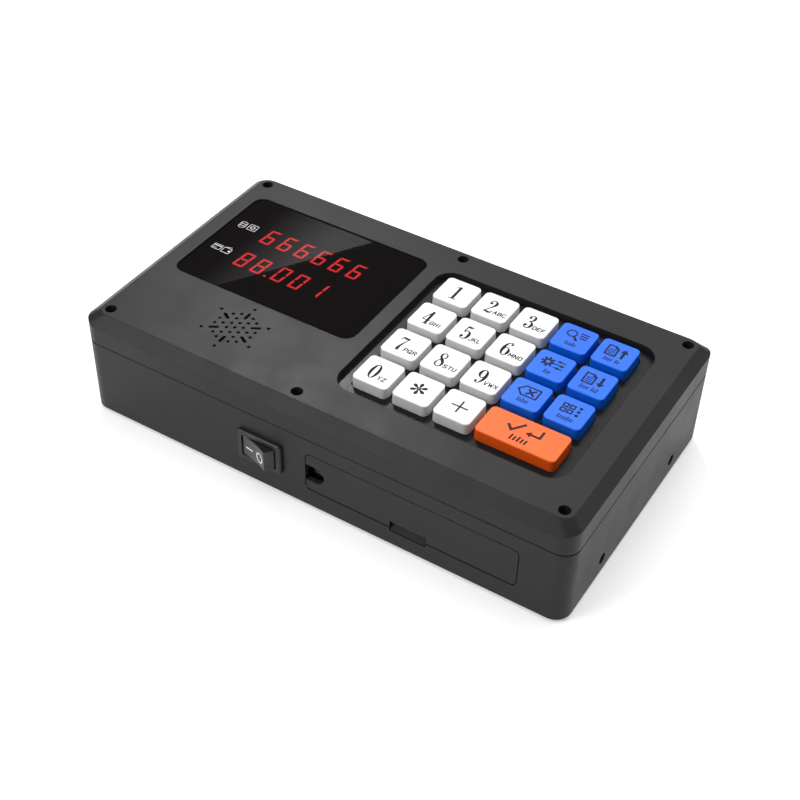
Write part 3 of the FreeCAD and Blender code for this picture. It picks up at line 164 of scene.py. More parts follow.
def moulded(name, dark, light, rough=(0.42, 0.5), grain=2300.0, bump=0.12, depth=0.00006, wear=None, spec=0.5, edge=0.0003, cloud=18.0, skirt_shade=None, seams=()):
    """Injection-moulded plastic: spark-eroded grain, faint flow clouding, brighter worn edges, painted shade on the
    lower key sides and painted shadow in the seams.
    """
    s = Surface(name)
    flow = s.noise(cloud, 4.0, 0.55)
    fine = s.noise(grain, 2.0, 0.6)
    base = s.blend(s.span(flow, 0.0, 1.0, 0.3, 0.7), dark, light)
    if wear:
        mask = s.node("ShaderNodeMath", operation="MULTIPLY")
        s.link(s.edges(edge * 1.6), mask.inputs[0])
        s.link(s.span(s.noise(160.0, 5.0, 0.6), 0.15, 1.0, 0.35, 0.7), mask.inputs[1])
        base = s.blend(mask.outputs[0], base, wear)
    # painted shade: below the top of each key the sides blend towards a darker skirt colour, standing in for the shade
    # between the keys
    if skirt_shade:
        low, high, shade = skirt_shade
        axes = s.node("ShaderNodeSeparateXYZ")
        s.link(s.co, axes.inputs[0])
        rise = s.span(axes.outputs["Z"], 1.0, 0.0, low, high)
        uneven = s.node("ShaderNodeMath", operation="MULTIPLY")
        s.link(rise, uneven.inputs[0])
        s.link(s.span(s.noise(220.0, 5.0, 0.6), 0.86, 1.0, 0.35, 0.65), uneven.inputs[1])
        base = s.blend(uneven.outputs[0], base, shade)
    seam_shadow = None
    if seams:
        axes = s.node("ShaderNodeSeparateXYZ")
        s.link(s.co, axes.inputs[0])
    for axis, centre, half, limits in seams:
        off = s.node("ShaderNodeMath", operation="SUBTRACT")
        s.link(axes.outputs[axis], off.inputs[0])
        off.inputs[1].default_value = centre
        dist = s.node("ShaderNodeMath", operation="ABSOLUTE")
        s.link(off.outputs[0], dist.inputs[0])
        line = s.span(dist.outputs[0], 1.0, 0.0, half, half + 0.00012)
        for other, a, b in limits:
            for lo_, hi_, edge_ in ((0.0, 1.0, a), (1.0, 0.0, b)):
                both = s.node("ShaderNodeMath", operation="MULTIPLY")
                s.link(line, both.inputs[0])
                s.link(s.span(axes.outputs[other], lo_, hi_, edge_ - 0.0001, edge_ + 0.0001), both.inputs[1])
                line = both.outputs[0]
        thin = s.node("ShaderNodeMath", operation="MULTIPLY")
        s.link(line, thin.inputs[0])
        s.link(s.span(s.noise(90.0, 3.0, 0.6), 0.8, 1.0, 0.35, 0.65), thin.inputs[1])
        if seam_shadow is None:
            seam_shadow = thin.outputs[0]
        else:
            most = s.node("ShaderNodeMath", operation="MAXIMUM")
            s.link(seam_shadow, most.inputs[0])
            s.link(thin.outputs[0], most.inputs[1])
            seam_shadow = most.outputs[0]
    # painted shadow: the seams are blended to near black and their specular is cut, standing in for the shade in the
    # gaps
    if seam_shadow is not None:
        base = s.blend(seam_shadow, base, lin(9, 9, 9))
        s.link(s.span(seam_shadow, spec, 0.01), s.p.inputs["Specular IOR Level"])
    s.color(base)
    patch = s.noise(55.0, 5.0, 0.6)
    s.rough(s.span(patch, rough[0], rough[1], 0.3, 0.7))
    s.p.inputs["Specular IOR Level"].default_value = spec
    if edge:
        s.round_edges(edge)
    s.bump(fine, bump, depth)
    return s


def metal(name, dark, light, rough=(0.28, 0.42), stretch=(300.0, 300.0, 3000.0)):
    s = Surface(name)
    streak = s.noise(1.0, 3.0, 0.6, stretch)
    s.color(s.blend(s.span(streak, 0.0, 1.0, 0.3, 0.7), dark, light))
    s.rough(s.span(s.noise(400.0, 4.0), rough[0], rough[1], 0.3, 0.7))
    s.p.inputs["Metallic"].default_value = 1.0
    s.bump(streak, 0.1, 0.00003)
    return s


# painted shadow darkening the parting line and the lower and left seams of the battery door
low_lo, low_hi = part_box("lower_housing")
part_line, door_y = low_hi.z, low_lo.y
SEAMS = [("Z", part_line, 0.00014, [])]
for a, b in ((-0.0015, 0.0366), (0.0534, 0.0916)):
    SEAMS.append(("Z", 0.01085, 0.00026, [("X", a, b), ("Y", door_y - 0.001, door_y + 0.003)]))
SEAMS.append(("X", -0.0022, 0.00022, [("Z", 0.0125, 0.0155), ("Y", door_y - 0.001, door_y + 0.003)]))
# and painted shadow round the finger recess
SEAMS.append(("Z", 0.00915, 0.00022, [("X", 0.0369, 0.0532), ("Y", door_y - 0.001, door_y + 0.003)]))
for x in (0.0371, 0.053):
    SEAMS.append(("X", x, 0.0002, [("Z", 0.009, 0.0142), ("Y", door_y - 0.001, door_y + 0.003)]))
M = {}
key_brim = max(v.co.z for v in bpy.data.objects["key_5"].data.vertices)
M["case"] = moulded("case_plastic", lin(36, 36, 37), lin(40, 40, 41), (0.38, 0.45), 2100.0, 0.16, 0.00006, lin(56, 56, 57), 0.15, 0.00035, seams=SEAMS)
M["plate"] = moulded("recess_floor", lin(23, 23, 24), lin(27, 27, 28), (0.24, 0.32), 2600.0, 0.04, 0.00003, None, 0.12, 0.0002)
# each key's skirt colour is a darker copy of its key colour, painted shade for the key sides
M["white"] = moulded("key_white", lin(238, 238, 238), lin(243, 243, 243), (0.40, 0.47), 2600.0, 0.07, 0.00004, lin(252, 252, 252), 0.4, 0.0003, skirt_shade=(key_brim - 0.0009, key_brim - 0.0002, lin(206, 206, 207)))
M["blue"] = moulded("key_blue", lin(5, 100, 228), lin(10, 108, 236), (0.40, 0.47), 2600.0, 0.07, 0.00004, lin(70, 145, 248), 0.36, 0.0003, skirt_shade=(key_brim - 0.0009, key_brim - 0.0002, lin(5, 92, 204)))
M["orange"] = moulded("key_orange", lin(244, 96, 16), lin(250, 104, 24), (0.40, 0.47), 2600.0, 0.07, 0.00004, lin(255, 145, 80), 0.36, 0.0003, skirt_shade=(key_brim - 0.0009, key_brim - 0.0002, lin(222, 84, 14)))
M["switch"] = moulded("switch_nylon", lin(35, 35, 36), lin(39, 39, 40), (0.36, 0.44), 2600.0, 0.08, 0.00004, lin(60, 60, 61), 0.25, 0.0002)
M["rocker"] = moulded("rocker_gloss", lin(30, 30, 31), lin(36, 36, 37), (0.22, 0.30), 2600.0, 0.04, 0.00003, lin(66, 66, 68), 0.4, 0.0002)
# painted light: the charging socket is coloured mid grey, lighter than black plastic, so that its face shows inside the
# shaded notch
M["socket"] = moulded("socket_painted_light", lin(92, 92, 94), lin(102, 102, 104), (0.34, 0.42), 2600.0, 0.08, 0.00004, None, 0.5, 0.0002)
M["chip"] = moulded("chip_epoxy", lin(26, 26, 28), lin(34, 34, 36), (0.55, 0.65), 1800.0, 0.15, 0.00005, lin(60, 60, 62), 0.4, 0.0001)
M["connector"] = moulded("connector_nylon", lin(222, 214, 196), lin(232, 226, 210), (0.42, 0.5), 2200.0, 0.08, 0.00004, None, 0.45, 0.0001)
M["tape"] = moulded("foam_tape", lin(18, 18, 18), lin(26, 26, 26), (0.75, 0.9), 1500.0, 0.5, 0.0001, None, 0.2, 0.0)
M["display"] = moulded("display_face", lin(20, 17, 17), lin(25, 21, 21), (0.5, 0.6), 2200.0, 0.1, 0.00004, None, 0.3, 0.0001)
M["feet"] = moulded("foot_rubber", lin(24, 24, 24), lin(33, 33, 33), (0.7, 0.85), 1500.0, 0.35, 0.00009, lin(52, 52, 52), 0.25, 0.0002)
M["shrink"] = moulded("heat_shrink", lin(18, 60, 140), lin(28, 76, 165), (0.25, 0.38), 500.0, 0.25, 0.0002, None, 0.5, 0.0003)
M["silicone"] = moulded("dome_silicone", lin(196, 196, 190), lin(212, 212, 206), (0.5, 0.62), 1800.0, 0.1, 0.00005, None, 0.4, 0.0002)
M["silicone"].p.inputs["Subsurface Weight"].default_value = 0.25
M["silicone"].p.inputs["Subsurface Radius"].default_value = (0.002, 0.002, 0.0018)
M["cone"] = moulded("cone_paper", lin(34, 32, 30), lin(48, 45, 42), (0.7, 0.85), 900.0, 0.5, 0.00012, None, 0.2, 0.0)
M["steel"] = metal("zinc_steel", lin(138, 138, 140), lin(168, 168, 170))
M["tin"] = metal("bright_zinc", lin(178, 178, 180), lin(204, 204, 206), (0.2, 0.34))
M["screw"] = metal("black_zinc", lin(40, 40, 42), lin(62, 62, 65), (0.32, 0.46))
M["can"] = metal("capacitor_can", lin(160, 163, 168), lin(188, 190, 194), (0.22, 0.3), (2000.0, 2000.0, 60.0))
M["copper"] = metal("copper_track", lin(176, 100, 50), lin(200, 122, 66), (0.25, 0.36), (900.0, 900.0, 60.0))


def board_surface(name, mask_a, mask_b, pad):
    """Solder mask with raised tracks, plated pads and a fine glass weave below."""
    s = Surface(name)
    m = s.node("ShaderNodeMapping")
    m.inputs["Scale"].default_value = (420.0, 420.0, 420.0)
    s.link(s.co, m.inputs["Vector"])
    br = s.node("ShaderNodeTexBrick")
    br.inputs["Scale"].default_value = 1.0
    br.inputs["Mortar Size"].default_value = 0.07
    br.inputs["Brick Width"].default_value = 2.3
    br.inputs["Row Height"].default_value = 0.8
    s.link(m.outputs["Vector"], br.inputs["Vector"])
    pads = s.voronoi(260.0, "F1", 0.35)
    padm = s.span(pads, 1.0, 0.0, 0.11, 0.13)
    base = s.blend(br.outputs["Fac"], mask_a, mask_b)
    s.color(s.blend(padm, base, pad))
    s.rough(s.span(s.noise(500.0), 0.28, 0.4, 0.3, 0.7))
    s.bump(br.outputs["Fac"], 0.5, 0.00006)
    return s


def cloth_surface():
    """Plain-woven acoustic cloth: two crossed sets of threads."""
    s = Surface("grille_cloth")
    waves = []
    for axis in ("X", "Y"):
        w = s.node("ShaderNodeTexWave", wave_type="BANDS", bands_direction=axis)
        w.inputs["Scale"].default_value = 700.0
        w.inputs["Distortion"].default_value = 0.6
        s.link(s.co, w.inputs["Vector"])
        waves.append(w.outputs["Fac"])
    mx = s.node("ShaderNodeMath", operation="MAXIMUM")
    s.link(waves[0], mx.inputs[0])
    s.link(waves[1], mx.inputs[1])
    s.color(s.blend(mx.outputs[0], lin(8, 8, 8), lin(26, 26, 26)))
    s.rough(s.span(s.noise(600.0), 0.8, 0.95, 0.3, 0.7))
    s.p.inputs["Sheen Weight"].default_value = 0.2
    s.bump(mx.outputs[0], 0.8, 0.0001)
    return s


def ribbon_surface(name, a, b, axis, pitch):
    """Flat cable: parallel round cores side by side."""
    s = Surface(name)
    w = s.node("ShaderNodeTexWave", wave_type="BANDS", bands_direction=axis)
    w.inputs["Scale"].default_value = 2 * math.pi / 20.0 / pitch
    s.link(s.co, w.inputs["Vector"])
    s.color(s.blend(w.outputs["Fac"], a, b))
    s.rough(s.span(s.noise(700.0), 0.35, 0.5, 0.3, 0.7))
    s.bump(w.outputs["Fac"], 0.8, 0.0002)
    return s


def lens_surface():
    """Smoked acrylic window: mostly opaque tint, polished, with faint wiping haze."""
    s = Surface("smoked_lens")
    haze = s.noise(30.0, 5.0, 0.6)
    s.color(s.blend(s.span(haze, 0.0, 1.0, 0.3, 0.7), lin(16, 12, 13), lin(19, 15, 16)))
    s.rough(s.span(s.noise(90.0, 6.0, 0.65), 0.004, 0.03, 0.4, 0.75))
    s.p.inputs["Alpha"].default_value = 0.74
    s.p.inputs["IOR"].default_value = 1.49
    s.p.inputs["Specular IOR Level"].default_value = 0.25
    s.bump(s.noise(12.0, 1.0), 0.008, 0.0002)
    return s


def glow_surface():
    """Lit segment: red glow with slight diffuser mottling."""
    s = Surface("lit_segment")
    mott = s.noise(900.0, 3.0, 0.6)
    e = s.blend(s.span(mott, 0.0, 1.0, 0.3, 0.7), (0.78, 0.018, 0.02, 1.0), (0.95, 0.04, 0.04, 1.0))
    s.link(e, s.p.inputs["Emission Color"])
    s.p.inputs["Emission Strength"].default_value = 12.5
    s.color(s.blend(mott, lin(120, 20, 20), lin(150, 30, 30)))
    s.rough(0.5)
    return s


def ink(name, a, b, rough=(0.45, 0.6)):
    """Pad-printed ink: thin film with slightly uneven coverage and a matt surface."""
    s = Surface(name)
    s.color(s.blend(s.span(s.noise(900.0, 4.0, 0.6), 0.0, 1.0, 0.3, 0.7), a, b))
    s.rough(s.span(s.noise(1500.0, 2.0), rough[0], rough[1], 0.3, 0.7))
    s.p.inputs["Specular IOR Level"].default_value = 0.2
    s.bump(s.noise(3000.0, 2.0), 0.1, 0.00003)
    return s


def wire_surface():
    s = Surface("wire_insulation")
    s.color(s.blend(s.span(s.noise(300.0, 3.0), 0.0, 1.0, 0.3, 0.7), lin(150, 20, 20), lin(190, 36, 32)))
    s.rough(s.span(s.noise(800.0), 0.32, 0.45, 0.3, 0.7))
    s.bump(s.noise(1600.0), 0.1, 0.00005)
    return s


M["board"] = board_surface("solder_mask", lin(16, 74, 42), lin(26, 104, 58), lin(196, 176, 120))
M["board_black"] = board_surface("solder_mask_black", lin(17, 18, 18), lin(27, 28, 28), lin(60, 56, 48))
M["cloth"] = cloth_surface()
M["ribbon"] = ribbon_surface("grey_ribbon", lin(130, 132, 136), lin(176, 178, 182), "Y", 0.00127)
M["wire"] = wire_surface()
M["lens"] = lens_surface()
M["glow"] = glow_surface()
M["ink_black"] = ink("ink_black", lin(12, 12, 13), lin(20, 20, 22))
M["ink_dark"] = ink("ink_dark", lin(8, 16, 40), lin(15, 24, 50))
M["ink_brown"] = ink("ink_brown", lin(42, 22, 12), lin(54, 30, 18))
M["ink_white"] = ink("ink_white", lin(206, 206, 204), lin(226, 226, 224))

USE = {
    "top_cover": "case", "lower_housing": "case", "battery_door": "case", "display_lens": "lens", "lens_tape": "tape",
    "display_board": "board", "keypad_board": "board", "main_board": "board", "socket_board": "board_black",
    "led_digits_upper": "display", "led_digits_lower": "display", "card_antenna": "copper", "keypad_plate": "plate",
    "key_mat": "silicone", "speaker_frame": "steel", "speaker_cone": "cone", "speaker_magnet": "steel", "speaker_cloth": "cloth",
    "switch_housing": "switch", "rocker": "rocker", "switch_terminals": "tin", "battery_tray": "plate", "battery_pack": "shrink",
    "charge_socket": "socket", "board_chips": "chip", "board_capacitors": "can", "board_connectors": "connector",
    "display_ribbon": "ribbon", "keypad_ribbon": "ribbon", "battery_wires": "wire", "switch_wires": "wire", "speaker_wires": "wire",
    "cover_screws": "screw", "main_board_screws": "tin", "display_screws": "tin", "keypad_screws": "tin", "rubber_feet": "feet",
    "key_enter": "orange"}
WHITE = ["key_1", "key_2", "key_3", "key_4", "key_5", "key_6", "key_7", "key_8", "key_9", "key_0", "key_star", "key_plus"]
BLUE = ["key_query", "key_page_up", "key_set", "key_page_down", "key_clear", "key_function"]
for n in WHITE:
    USE[n] = "white"
for n in BLUE:
    USE[n] = "blue"
KEYS = WHITE + BLUE + ["key_enter"]
for n, o in N.items():
    o.data.materials.clear()
    o.data.materials.append(M[USE[n]].mat)


# --------------------------------------------------------- flat printed shapes
def spline(pts, closed=False, steps=7):
    """Catmull-Rom samples through (x, y, width) points."""
    P = [tuple(p) for p in pts]
    n = len(P)
    out = []
    last = n if closed else n - 1
    for i in range(last):
        p0 = P[(i - 1) % n] if closed or i > 0 else tuple(2 * a - b for a, b in zip(P[0], P[1]))
        p1, p2 = P[i], P[(i + 1) % n]
        p3 = P[(i + 2) % n] if closed or i + 2 < n else tuple(2 * a - b for a, b in zip(P[-1], P[-2]))
        for k in range(steps):
            t = k / steps
            out.append(tuple(0.5 * (2 * b + (c - a) * t + (2 * a - 5 * b + 4 * c - d) * t * t + (3 * b - a - 3 * c + d) * t ** 3)
                             for a, b, c, d in zip(p0, p1, p2, p3)))
    if not closed:
        out.append(P[-1])
    return out


class Print:
    """Collects flat shapes as thin closed prisms in one mesh."""

    def __init__(self, z0, z1, step=0.000004):
        self.bm = bmesh.new()
        self.z0, self.z1, self.step, self.n = z0, z1, step, 0
        self.scale, self.lift, self.heavy = 1.0, 0.0, 1.0

    def at(self, p):
        return (p[0] * self.scale, p[1] * self.scale + self.lift) + tuple(v * self.heavy for v in p[2:])

    def prism(self, outer, inner=None):
        outer, inner = [self.at(p) for p in outer], [self.at(p) for p in inner] if inner else None
        z1 = self.z1 + self.step * (self.n % 6)
        self.n += 1
        rings = []
        for loop in ([outer, inner] if inner else [outer]):
            rings.append(([self.bm.verts.new((x, y, z1)) for x, y in loop], [self.bm.verts.new((x, y, self.z0)) for x, y in loop]))
        if inner:
            (ot, ob), (it, ib) = rings
            k = len(ot)
            for i in range(k):
                j = (i + 1) % k
                self.bm.faces.new((ot[i], ot[j], it[j], it[i]))
                self.bm.faces.new((ob[j], ob[i], ib[i], ib[j]))
                self.bm.faces.new((ot[j], ot[i], ob[i], ob[j]))
                self.bm.faces.new((it[i], it[j], ib[j], ib[i]))
        else:
            t, b = rings[0]
            k = len(t)
            self.bm.faces.new(t)
            self.bm.faces.new(list(reversed(b)))
            for i in range(k):
                j = (i + 1) % k
                self.bm.faces.new((t[j], t[i], b[i], b[j]))

    def ribbon(self, pts, closed=False):
        """Band of varying width along (x, y, width) points."""
        pts = [self.at(p) for p in pts]
        n = len(pts)
        left, right = [], []
        for i, (x, y, w) in enumerate(pts):
            a = pts[(i - 1) % n] if closed or i > 0 else pts[i]
            b = pts[(i + 1) % n] if closed or i + 1 < n else pts[i]
            dx, dy = b[0] - a[0], b[1] - a[1]
            d = math.hypot(dx, dy) or 1.0
            nx, ny = -dy / d * w / 2, dx / d * w / 2
            left.append((x + nx, y + ny))
            right.append((x - nx, y - ny))
        z1 = self.z1 + self.step * (self.n % 6)
        self.n += 1
        V = self.bm.verts.new
        lt, rt = [V((x, y, z1)) for x, y in left], [V((x, y, z1)) for x, y in right]
        lb, rb = [V((x, y, self.z0)) for x, y in left], [V((x, y, self.z0)) for x, y in right]
        F = self.bm.faces.new
        for i in range(n if closed else n - 1):
            j = (i + 1) % n
            F((rt[i], rt[j], lt[j], lt[i]))
            F((lb[i], lb[j], rb[j], rb[i]))
            F((lt[i], lt[j], lb[j], lb[i]))
            F((rt[j], rt[i], rb[i], rb[j]))
        if not closed:
            F((lt[0], lb[0], rb[0], rt[0]))
            F((rt[-1], rb[-1], lb[-1], lt[-1]))

    def disc(self, x, y, r, r_in=0.0, k=28):
        o = [(x + r * math.cos(2 * math.pi * i / k), y + r * math.sin(2 * math.pi * i / k)) for i in range(k)]
        i_ = [(x + r_in * math.cos(2 * math.pi * i / k), y + r_in * math.sin(2 * math.pi * i / k)) for i in range(k)] if r_in else None
        self.prism(o, i_)

    def done(self, name, surface, body, matrix=None):
        bmesh.ops.recalc_face_normals(self.bm, faces=self.bm.faces)
        me = bpy.data.meshes.new(name)
        self.bm.to_mesh(me)
        self.bm.free()
        if matrix:
            me.transform(matrix)
        o = bpy.data.objects.new(name, me)
        scene.collection.objects.link(o)
        me.materials.append(surface.mat)
        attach(o, body)
        return o


# numerals with strong thick and thin strokes, height 1; ("s" smooth | "l" straight | "c" closed, points) and ("b", x, y, r) for a ball
NUMERALS = {
    "0": [("c", [(0.28, 0.98, 0.03), (0.13, 0.84, 0.10), (0.075, 0.50, 0.145), (0.13, 0.16, 0.10), (0.28, 0.02, 0.03), (0.43, 0.16, 0.10), (0.485, 0.50, 0.145), (0.43, 0.84, 0.10)])],
    "1": [("l", [(0.30, 0.03, 0.13), (0.30, 0.99, 0.13)]), ("s", [(0.33, 0.975, 0.035), (0.22, 0.915, 0.035), (0.09, 0.865, 0.03)]), ("l", [(0.08, 0.018, 0.036), (0.52, 0.018, 0.036)])],
    "2": [("b", 0.14, 0.73, 0.075), ("s", [(0.075, 0.74, 0.03), (0.13, 0.91, 0.045), (0.27, 0.98, 0.035), (0.42, 0.90, 0.10), (0.46, 0.74, 0.135), (0.38, 0.54, 0.09), (0.21, 0.31, 0.05), (0.06, 0.09, 0.04), (0.05, 0.03, 0.03)]),
          ("s", [(0.06, 0.045, 0.05), (0.18, 0.085, 0.11), (0.33, 0.06, 0.13), (0.45, 0.09, 0.07), (0.50, 0.24, 0.02)])],
    "3": [("b", 0.13, 0.78, 0.07), ("b", 0.12, 0.21, 0.08), ("s", [(0.07, 0.80, 0.03), (0.13, 0.93, 0.045), (0.26, 0.98, 0.03), (0.39, 0.91, 0.10), (0.42, 0.76, 0.125), (0.35, 0.60, 0.08), (0.19, 0.525, 0.03)]),
          ("s", [(0.19, 0.525, 0.03), (0.35, 0.49, 0.06), (0.455, 0.36, 0.13), (0.45, 0.20, 0.135), (0.36, 0.06, 0.08), (0.22, 0.02, 0.03), (0.09, 0.08, 0.045), (0.05, 0.20, 0.03)])],
    "4": [("l", [(0.37, 0.97, 0.035), (0.04, 0.30, 0.035)]), ("l", [(0.03, 0.29, 0.04), (0.54, 0.29, 0.04)]), ("l", [(0.37, 0.99, 0.13), (0.37, 0.03, 0.13)]), ("l", [(0.22, 0.018, 0.036), (0.53, 0.018, 0.036)])],
    "5": [("s", [(0.11, 0.955, 0.05), (0.20, 0.925, 0.12), (0.33, 0.915, 0.12), (0.45, 0.97, 0.035)]), ("l", [(0.12, 0.97, 0.035), (0.10, 0.50, 0.03)]),
          ("s", [(0.10, 0.50, 0.03), (0.19, 0.60, 0.04), (0.32, 0.62, 0.06), (0.45, 0.50, 0.12), (0.47, 0.32, 0.14), (0.43, 0.13, 0.11), (0.28, 0.02, 0.035), (0.12, 0.06, 0.045), (0.06, 0.18, 0.03)]), ("b", 0.12, 0.19, 0.08)],
    "6": [("s", [(0.46, 0.90, 0.035), (0.40, 0.97, 0.04), (0.30, 0.97, 0.04), (0.17, 0.86, 0.08), (0.09, 0.62, 0.135), (0.085, 0.36, 0.14), (0.14, 0.13, 0.10), (0.28, 0.02, 0.035), (0.42, 0.11, 0.09), (0.475, 0.30, 0.135), (0.42, 0.49, 0.09), (0.30, 0.57, 0.035), (0.18, 0.51, 0.035), (0.12, 0.40, 0.02)]), ("b", 0.42, 0.86, 0.06)],
    "7": [("s", [(0.055, 0.76, 0.02), (0.09, 0.90, 0.06), (0.20, 0.915, 0.13), (0.36, 0.90, 0.12), (0.50, 0.965, 0.04)]), ("s", [(0.50, 0.96, 0.03), (0.39, 0.70, 0.05), (0.28, 0.42, 0.09), (0.235, 0.18, 0.14), (0.25, 0.0, 0.15)])],
    "8": [("c", [(0.28, 0.98, 0.035), (0.14, 0.90, 0.08), (0.115, 0.76, 0.10), (0.22, 0.60, 0.12), (0.36, 0.46, 0.14), (0.465, 0.29, 0.12), (0.44, 0.11, 0.08), (0.28, 0.02, 0.035), (0.11, 0.11, 0.075), (0.08, 0.27, 0.07), (0.16, 0.44, 0.035), (0.31, 0.56, 0.035), (0.42, 0.70, 0.065), (0.42, 0.88, 0.07)])],
}
LETTERS = {
    "A": [[(0, 0), (0.32, 1), (0.64, 0)], [(0.12, 0.36), (0.52, 0.36)]], "B": [[(0, 0), (0, 1), (0.45, 1), (0.58, 0.88), (0.58, 0.64), (0.45, 0.52), (0, 0.52)], [(0.45, 0.52), (0.62, 0.40), (0.62, 0.12), (0.48, 0), (0, 0)]],
    "C": [[(0.6, 0.84), (0.45, 1), (0.16, 1), (0, 0.84), (0, 0.16), (0.16, 0), (0.45, 0), (0.6, 0.16)]], "D": [[(0, 0), (0, 1), (0.4, 1), (0.62, 0.8), (0.62, 0.2), (0.4, 0), (0, 0)]],
    "E": [[(0.58, 1), (0, 1), (0, 0), (0.58, 0)], [(0, 0.52), (0.46, 0.52)]], "F": [[(0.58, 1), (0, 1), (0, 0)], [(0, 0.52), (0.46, 0.52)]],
    "G": [[(0.6, 0.84), (0.45, 1), (0.16, 1), (0, 0.84), (0, 0.16), (0.16, 0), (0.45, 0), (0.6, 0.16), (0.6, 0.48), (0.34, 0.48)]], "H": [[(0, 0), (0, 1)], [(0.6, 0), (0.6, 1)], [(0, 0.5), (0.6, 0.5)]],
    "I": [[(0.12, 0), (0.12, 1)]], "J": [[(0.5, 1), (0.5, 0.18), (0.36, 0), (0.14, 0), (0, 0.18)]], "K": [[(0, 0), (0, 1)], [(0.58, 1), (0, 0.42)], [(0.2, 0.6), (0.6, 0)]], "L": [[(0, 1), (0, 0), (0.54, 0)]],
    "M": [[(0, 0), (0, 1), (0.38, 0.35), (0.76, 1), (0.76, 0)]], "N": [[(0, 0), (0, 1), (0.6, 0), (0.6, 1)]], "O": [[(0.16, 0), (0, 0.18), (0, 0.82), (0.16, 1), (0.46, 1), (0.62, 0.82), (0.62, 0.18), (0.46, 0), (0.16, 0)]],
    "P": [[(0, 0), (0, 1), (0.45, 1), (0.6, 0.86), (0.6, 0.6), (0.45, 0.46), (0, 0.46)]], "Q": [[(0.16, 0), (0, 0.18), (0, 0.82), (0.16, 1), (0.46, 1), (0.62, 0.82), (0.62, 0.18), (0.46, 0), (0.16, 0)], [(0.38, 0.26), (0.68, -0.06)]],
    "R": [[(0, 0), (0, 1), (0.45, 1), (0.6, 0.86), (0.6, 0.6), (0.45, 0.48), (0, 0.48)], [(0.34, 0.48), (0.62, 0)]], "S": [[(0.6, 0.86), (0.45, 1), (0.15, 1), (0, 0.86), (0, 0.64), (0.6, 0.38), (0.6, 0.14), (0.45, 0), (0.15, 0), (0, 0.14)]],
    "T": [[(0, 1), (0.64, 1)], [(0.32, 1), (0.32, 0)]], "U": [[(0, 1), (0, 0.18), (0.16, 0), (0.44, 0), (0.6, 0.18), (0.6, 1)]], "V": [[(0, 1), (0.32, 0), (0.64, 1)]],
    "W": [[(0, 1), (0.2, 0), (0.42, 0.7), (0.64, 0), (0.84, 1)]], "X": [[(0, 1), (0.6, 0)], [(0, 0), (0.6, 1)]], "Y": [[(0, 1), (0.32, 0.5), (0.64, 1)], [(0.32, 0.5), (0.32, 0)]], "Z": [[(0, 1), (0.6, 1), (0, 0), (0.6, 0)]],
}
GROUPS = {"2": "ABC", "3": "DEF", "4": "GHI", "5": "JKL", "6": "MNO", "7": "PQR", "8": "STU", "9": "VWX", "0": "YZ"}


def numeral(pr, ch, x, y, w, h):
    flip = ch == "9"
    for st in NUMERALS["6" if flip else ch]:
        def m(px, py):
            if flip:
                px, py = 0.56 - px, 1.0 - py
            return x + px * w / 0.56, y + py * h
        k = (w / 0.56 + h) / 2 * 1.16
        if st[0] == "b":
            pr.disc(*m(st[1], st[2]), st[3] * k)
            continue
        pts = st[1] if st[0] == "l" else spline(st[1], st[0] == "c")
        pr.ribbon([m(a, b) + (max(c * k, 0.5),) for a, b, c in pts], st[0] == "c")


def letters(pr, text, x, y, h, wide, weight, slant=0.18):
    for ch in text:
        adv = 0.0
        for line in LETTERS[ch]:
            adv = max(adv, max(p[0] for p in line))
            for a, b in zip(line, line[1:]):
                dx, dy = b[0] - a[0], b[1] - a[1]
                q = [(x + (p[0] * wide + slant * p[1]) * h, y + p[1] * h) for p in (a, b)]
                d = math.hypot(q[1][0] - q[0][0], q[1][1] - q[0][1])
                ux, uy = (q[1][0] - q[0][0]) / d * weight / 2, (q[1][1] - q[0][1]) / d * weight / 2
                pr.ribbon([(q[0][0] - ux, q[0][1] - uy, weight), (q[1][0] + ux, q[1][1] + uy, weight)])
        x += (adv * wide + 0.36) * h
    return x


def arc(cx, cy, r, a0, a1, w, k=24):
    return [(cx + r * math.cos(math.radians(a0 + (a1 - a0) * i / k)), cy + r * math.sin(math.radians(a0 + (a1 - a0) * i / k)), w) for i in range(k + 1)]


def line(pr, pts, w, closed=False):
    """Mitred-by-overlap polyline of constant width."""
    P = pts + [pts[0]] if closed else pts
    for a, b in zip(P, P[1:]):
        d = math.hypot(b[0] - a[0], b[1] - a[1])
        ux, uy = (b[0] - a[0]) / d * w / 2, (b[1] - a[1]) / d * w / 2
        pr.ribbon([(a[0] - ux, a[1] - uy, w), (b[0] + ux, b[1] + uy, w)])


CAPTIONS = {"key_query": "LSSLS", "key_page_up": "LSSS LS", "key_set": "LSS", "key_page_down": "LSSS LSL", "key_clear": "LSLSS", "key_function": "LSSSLSS", "key_enter": "LSLSS"}


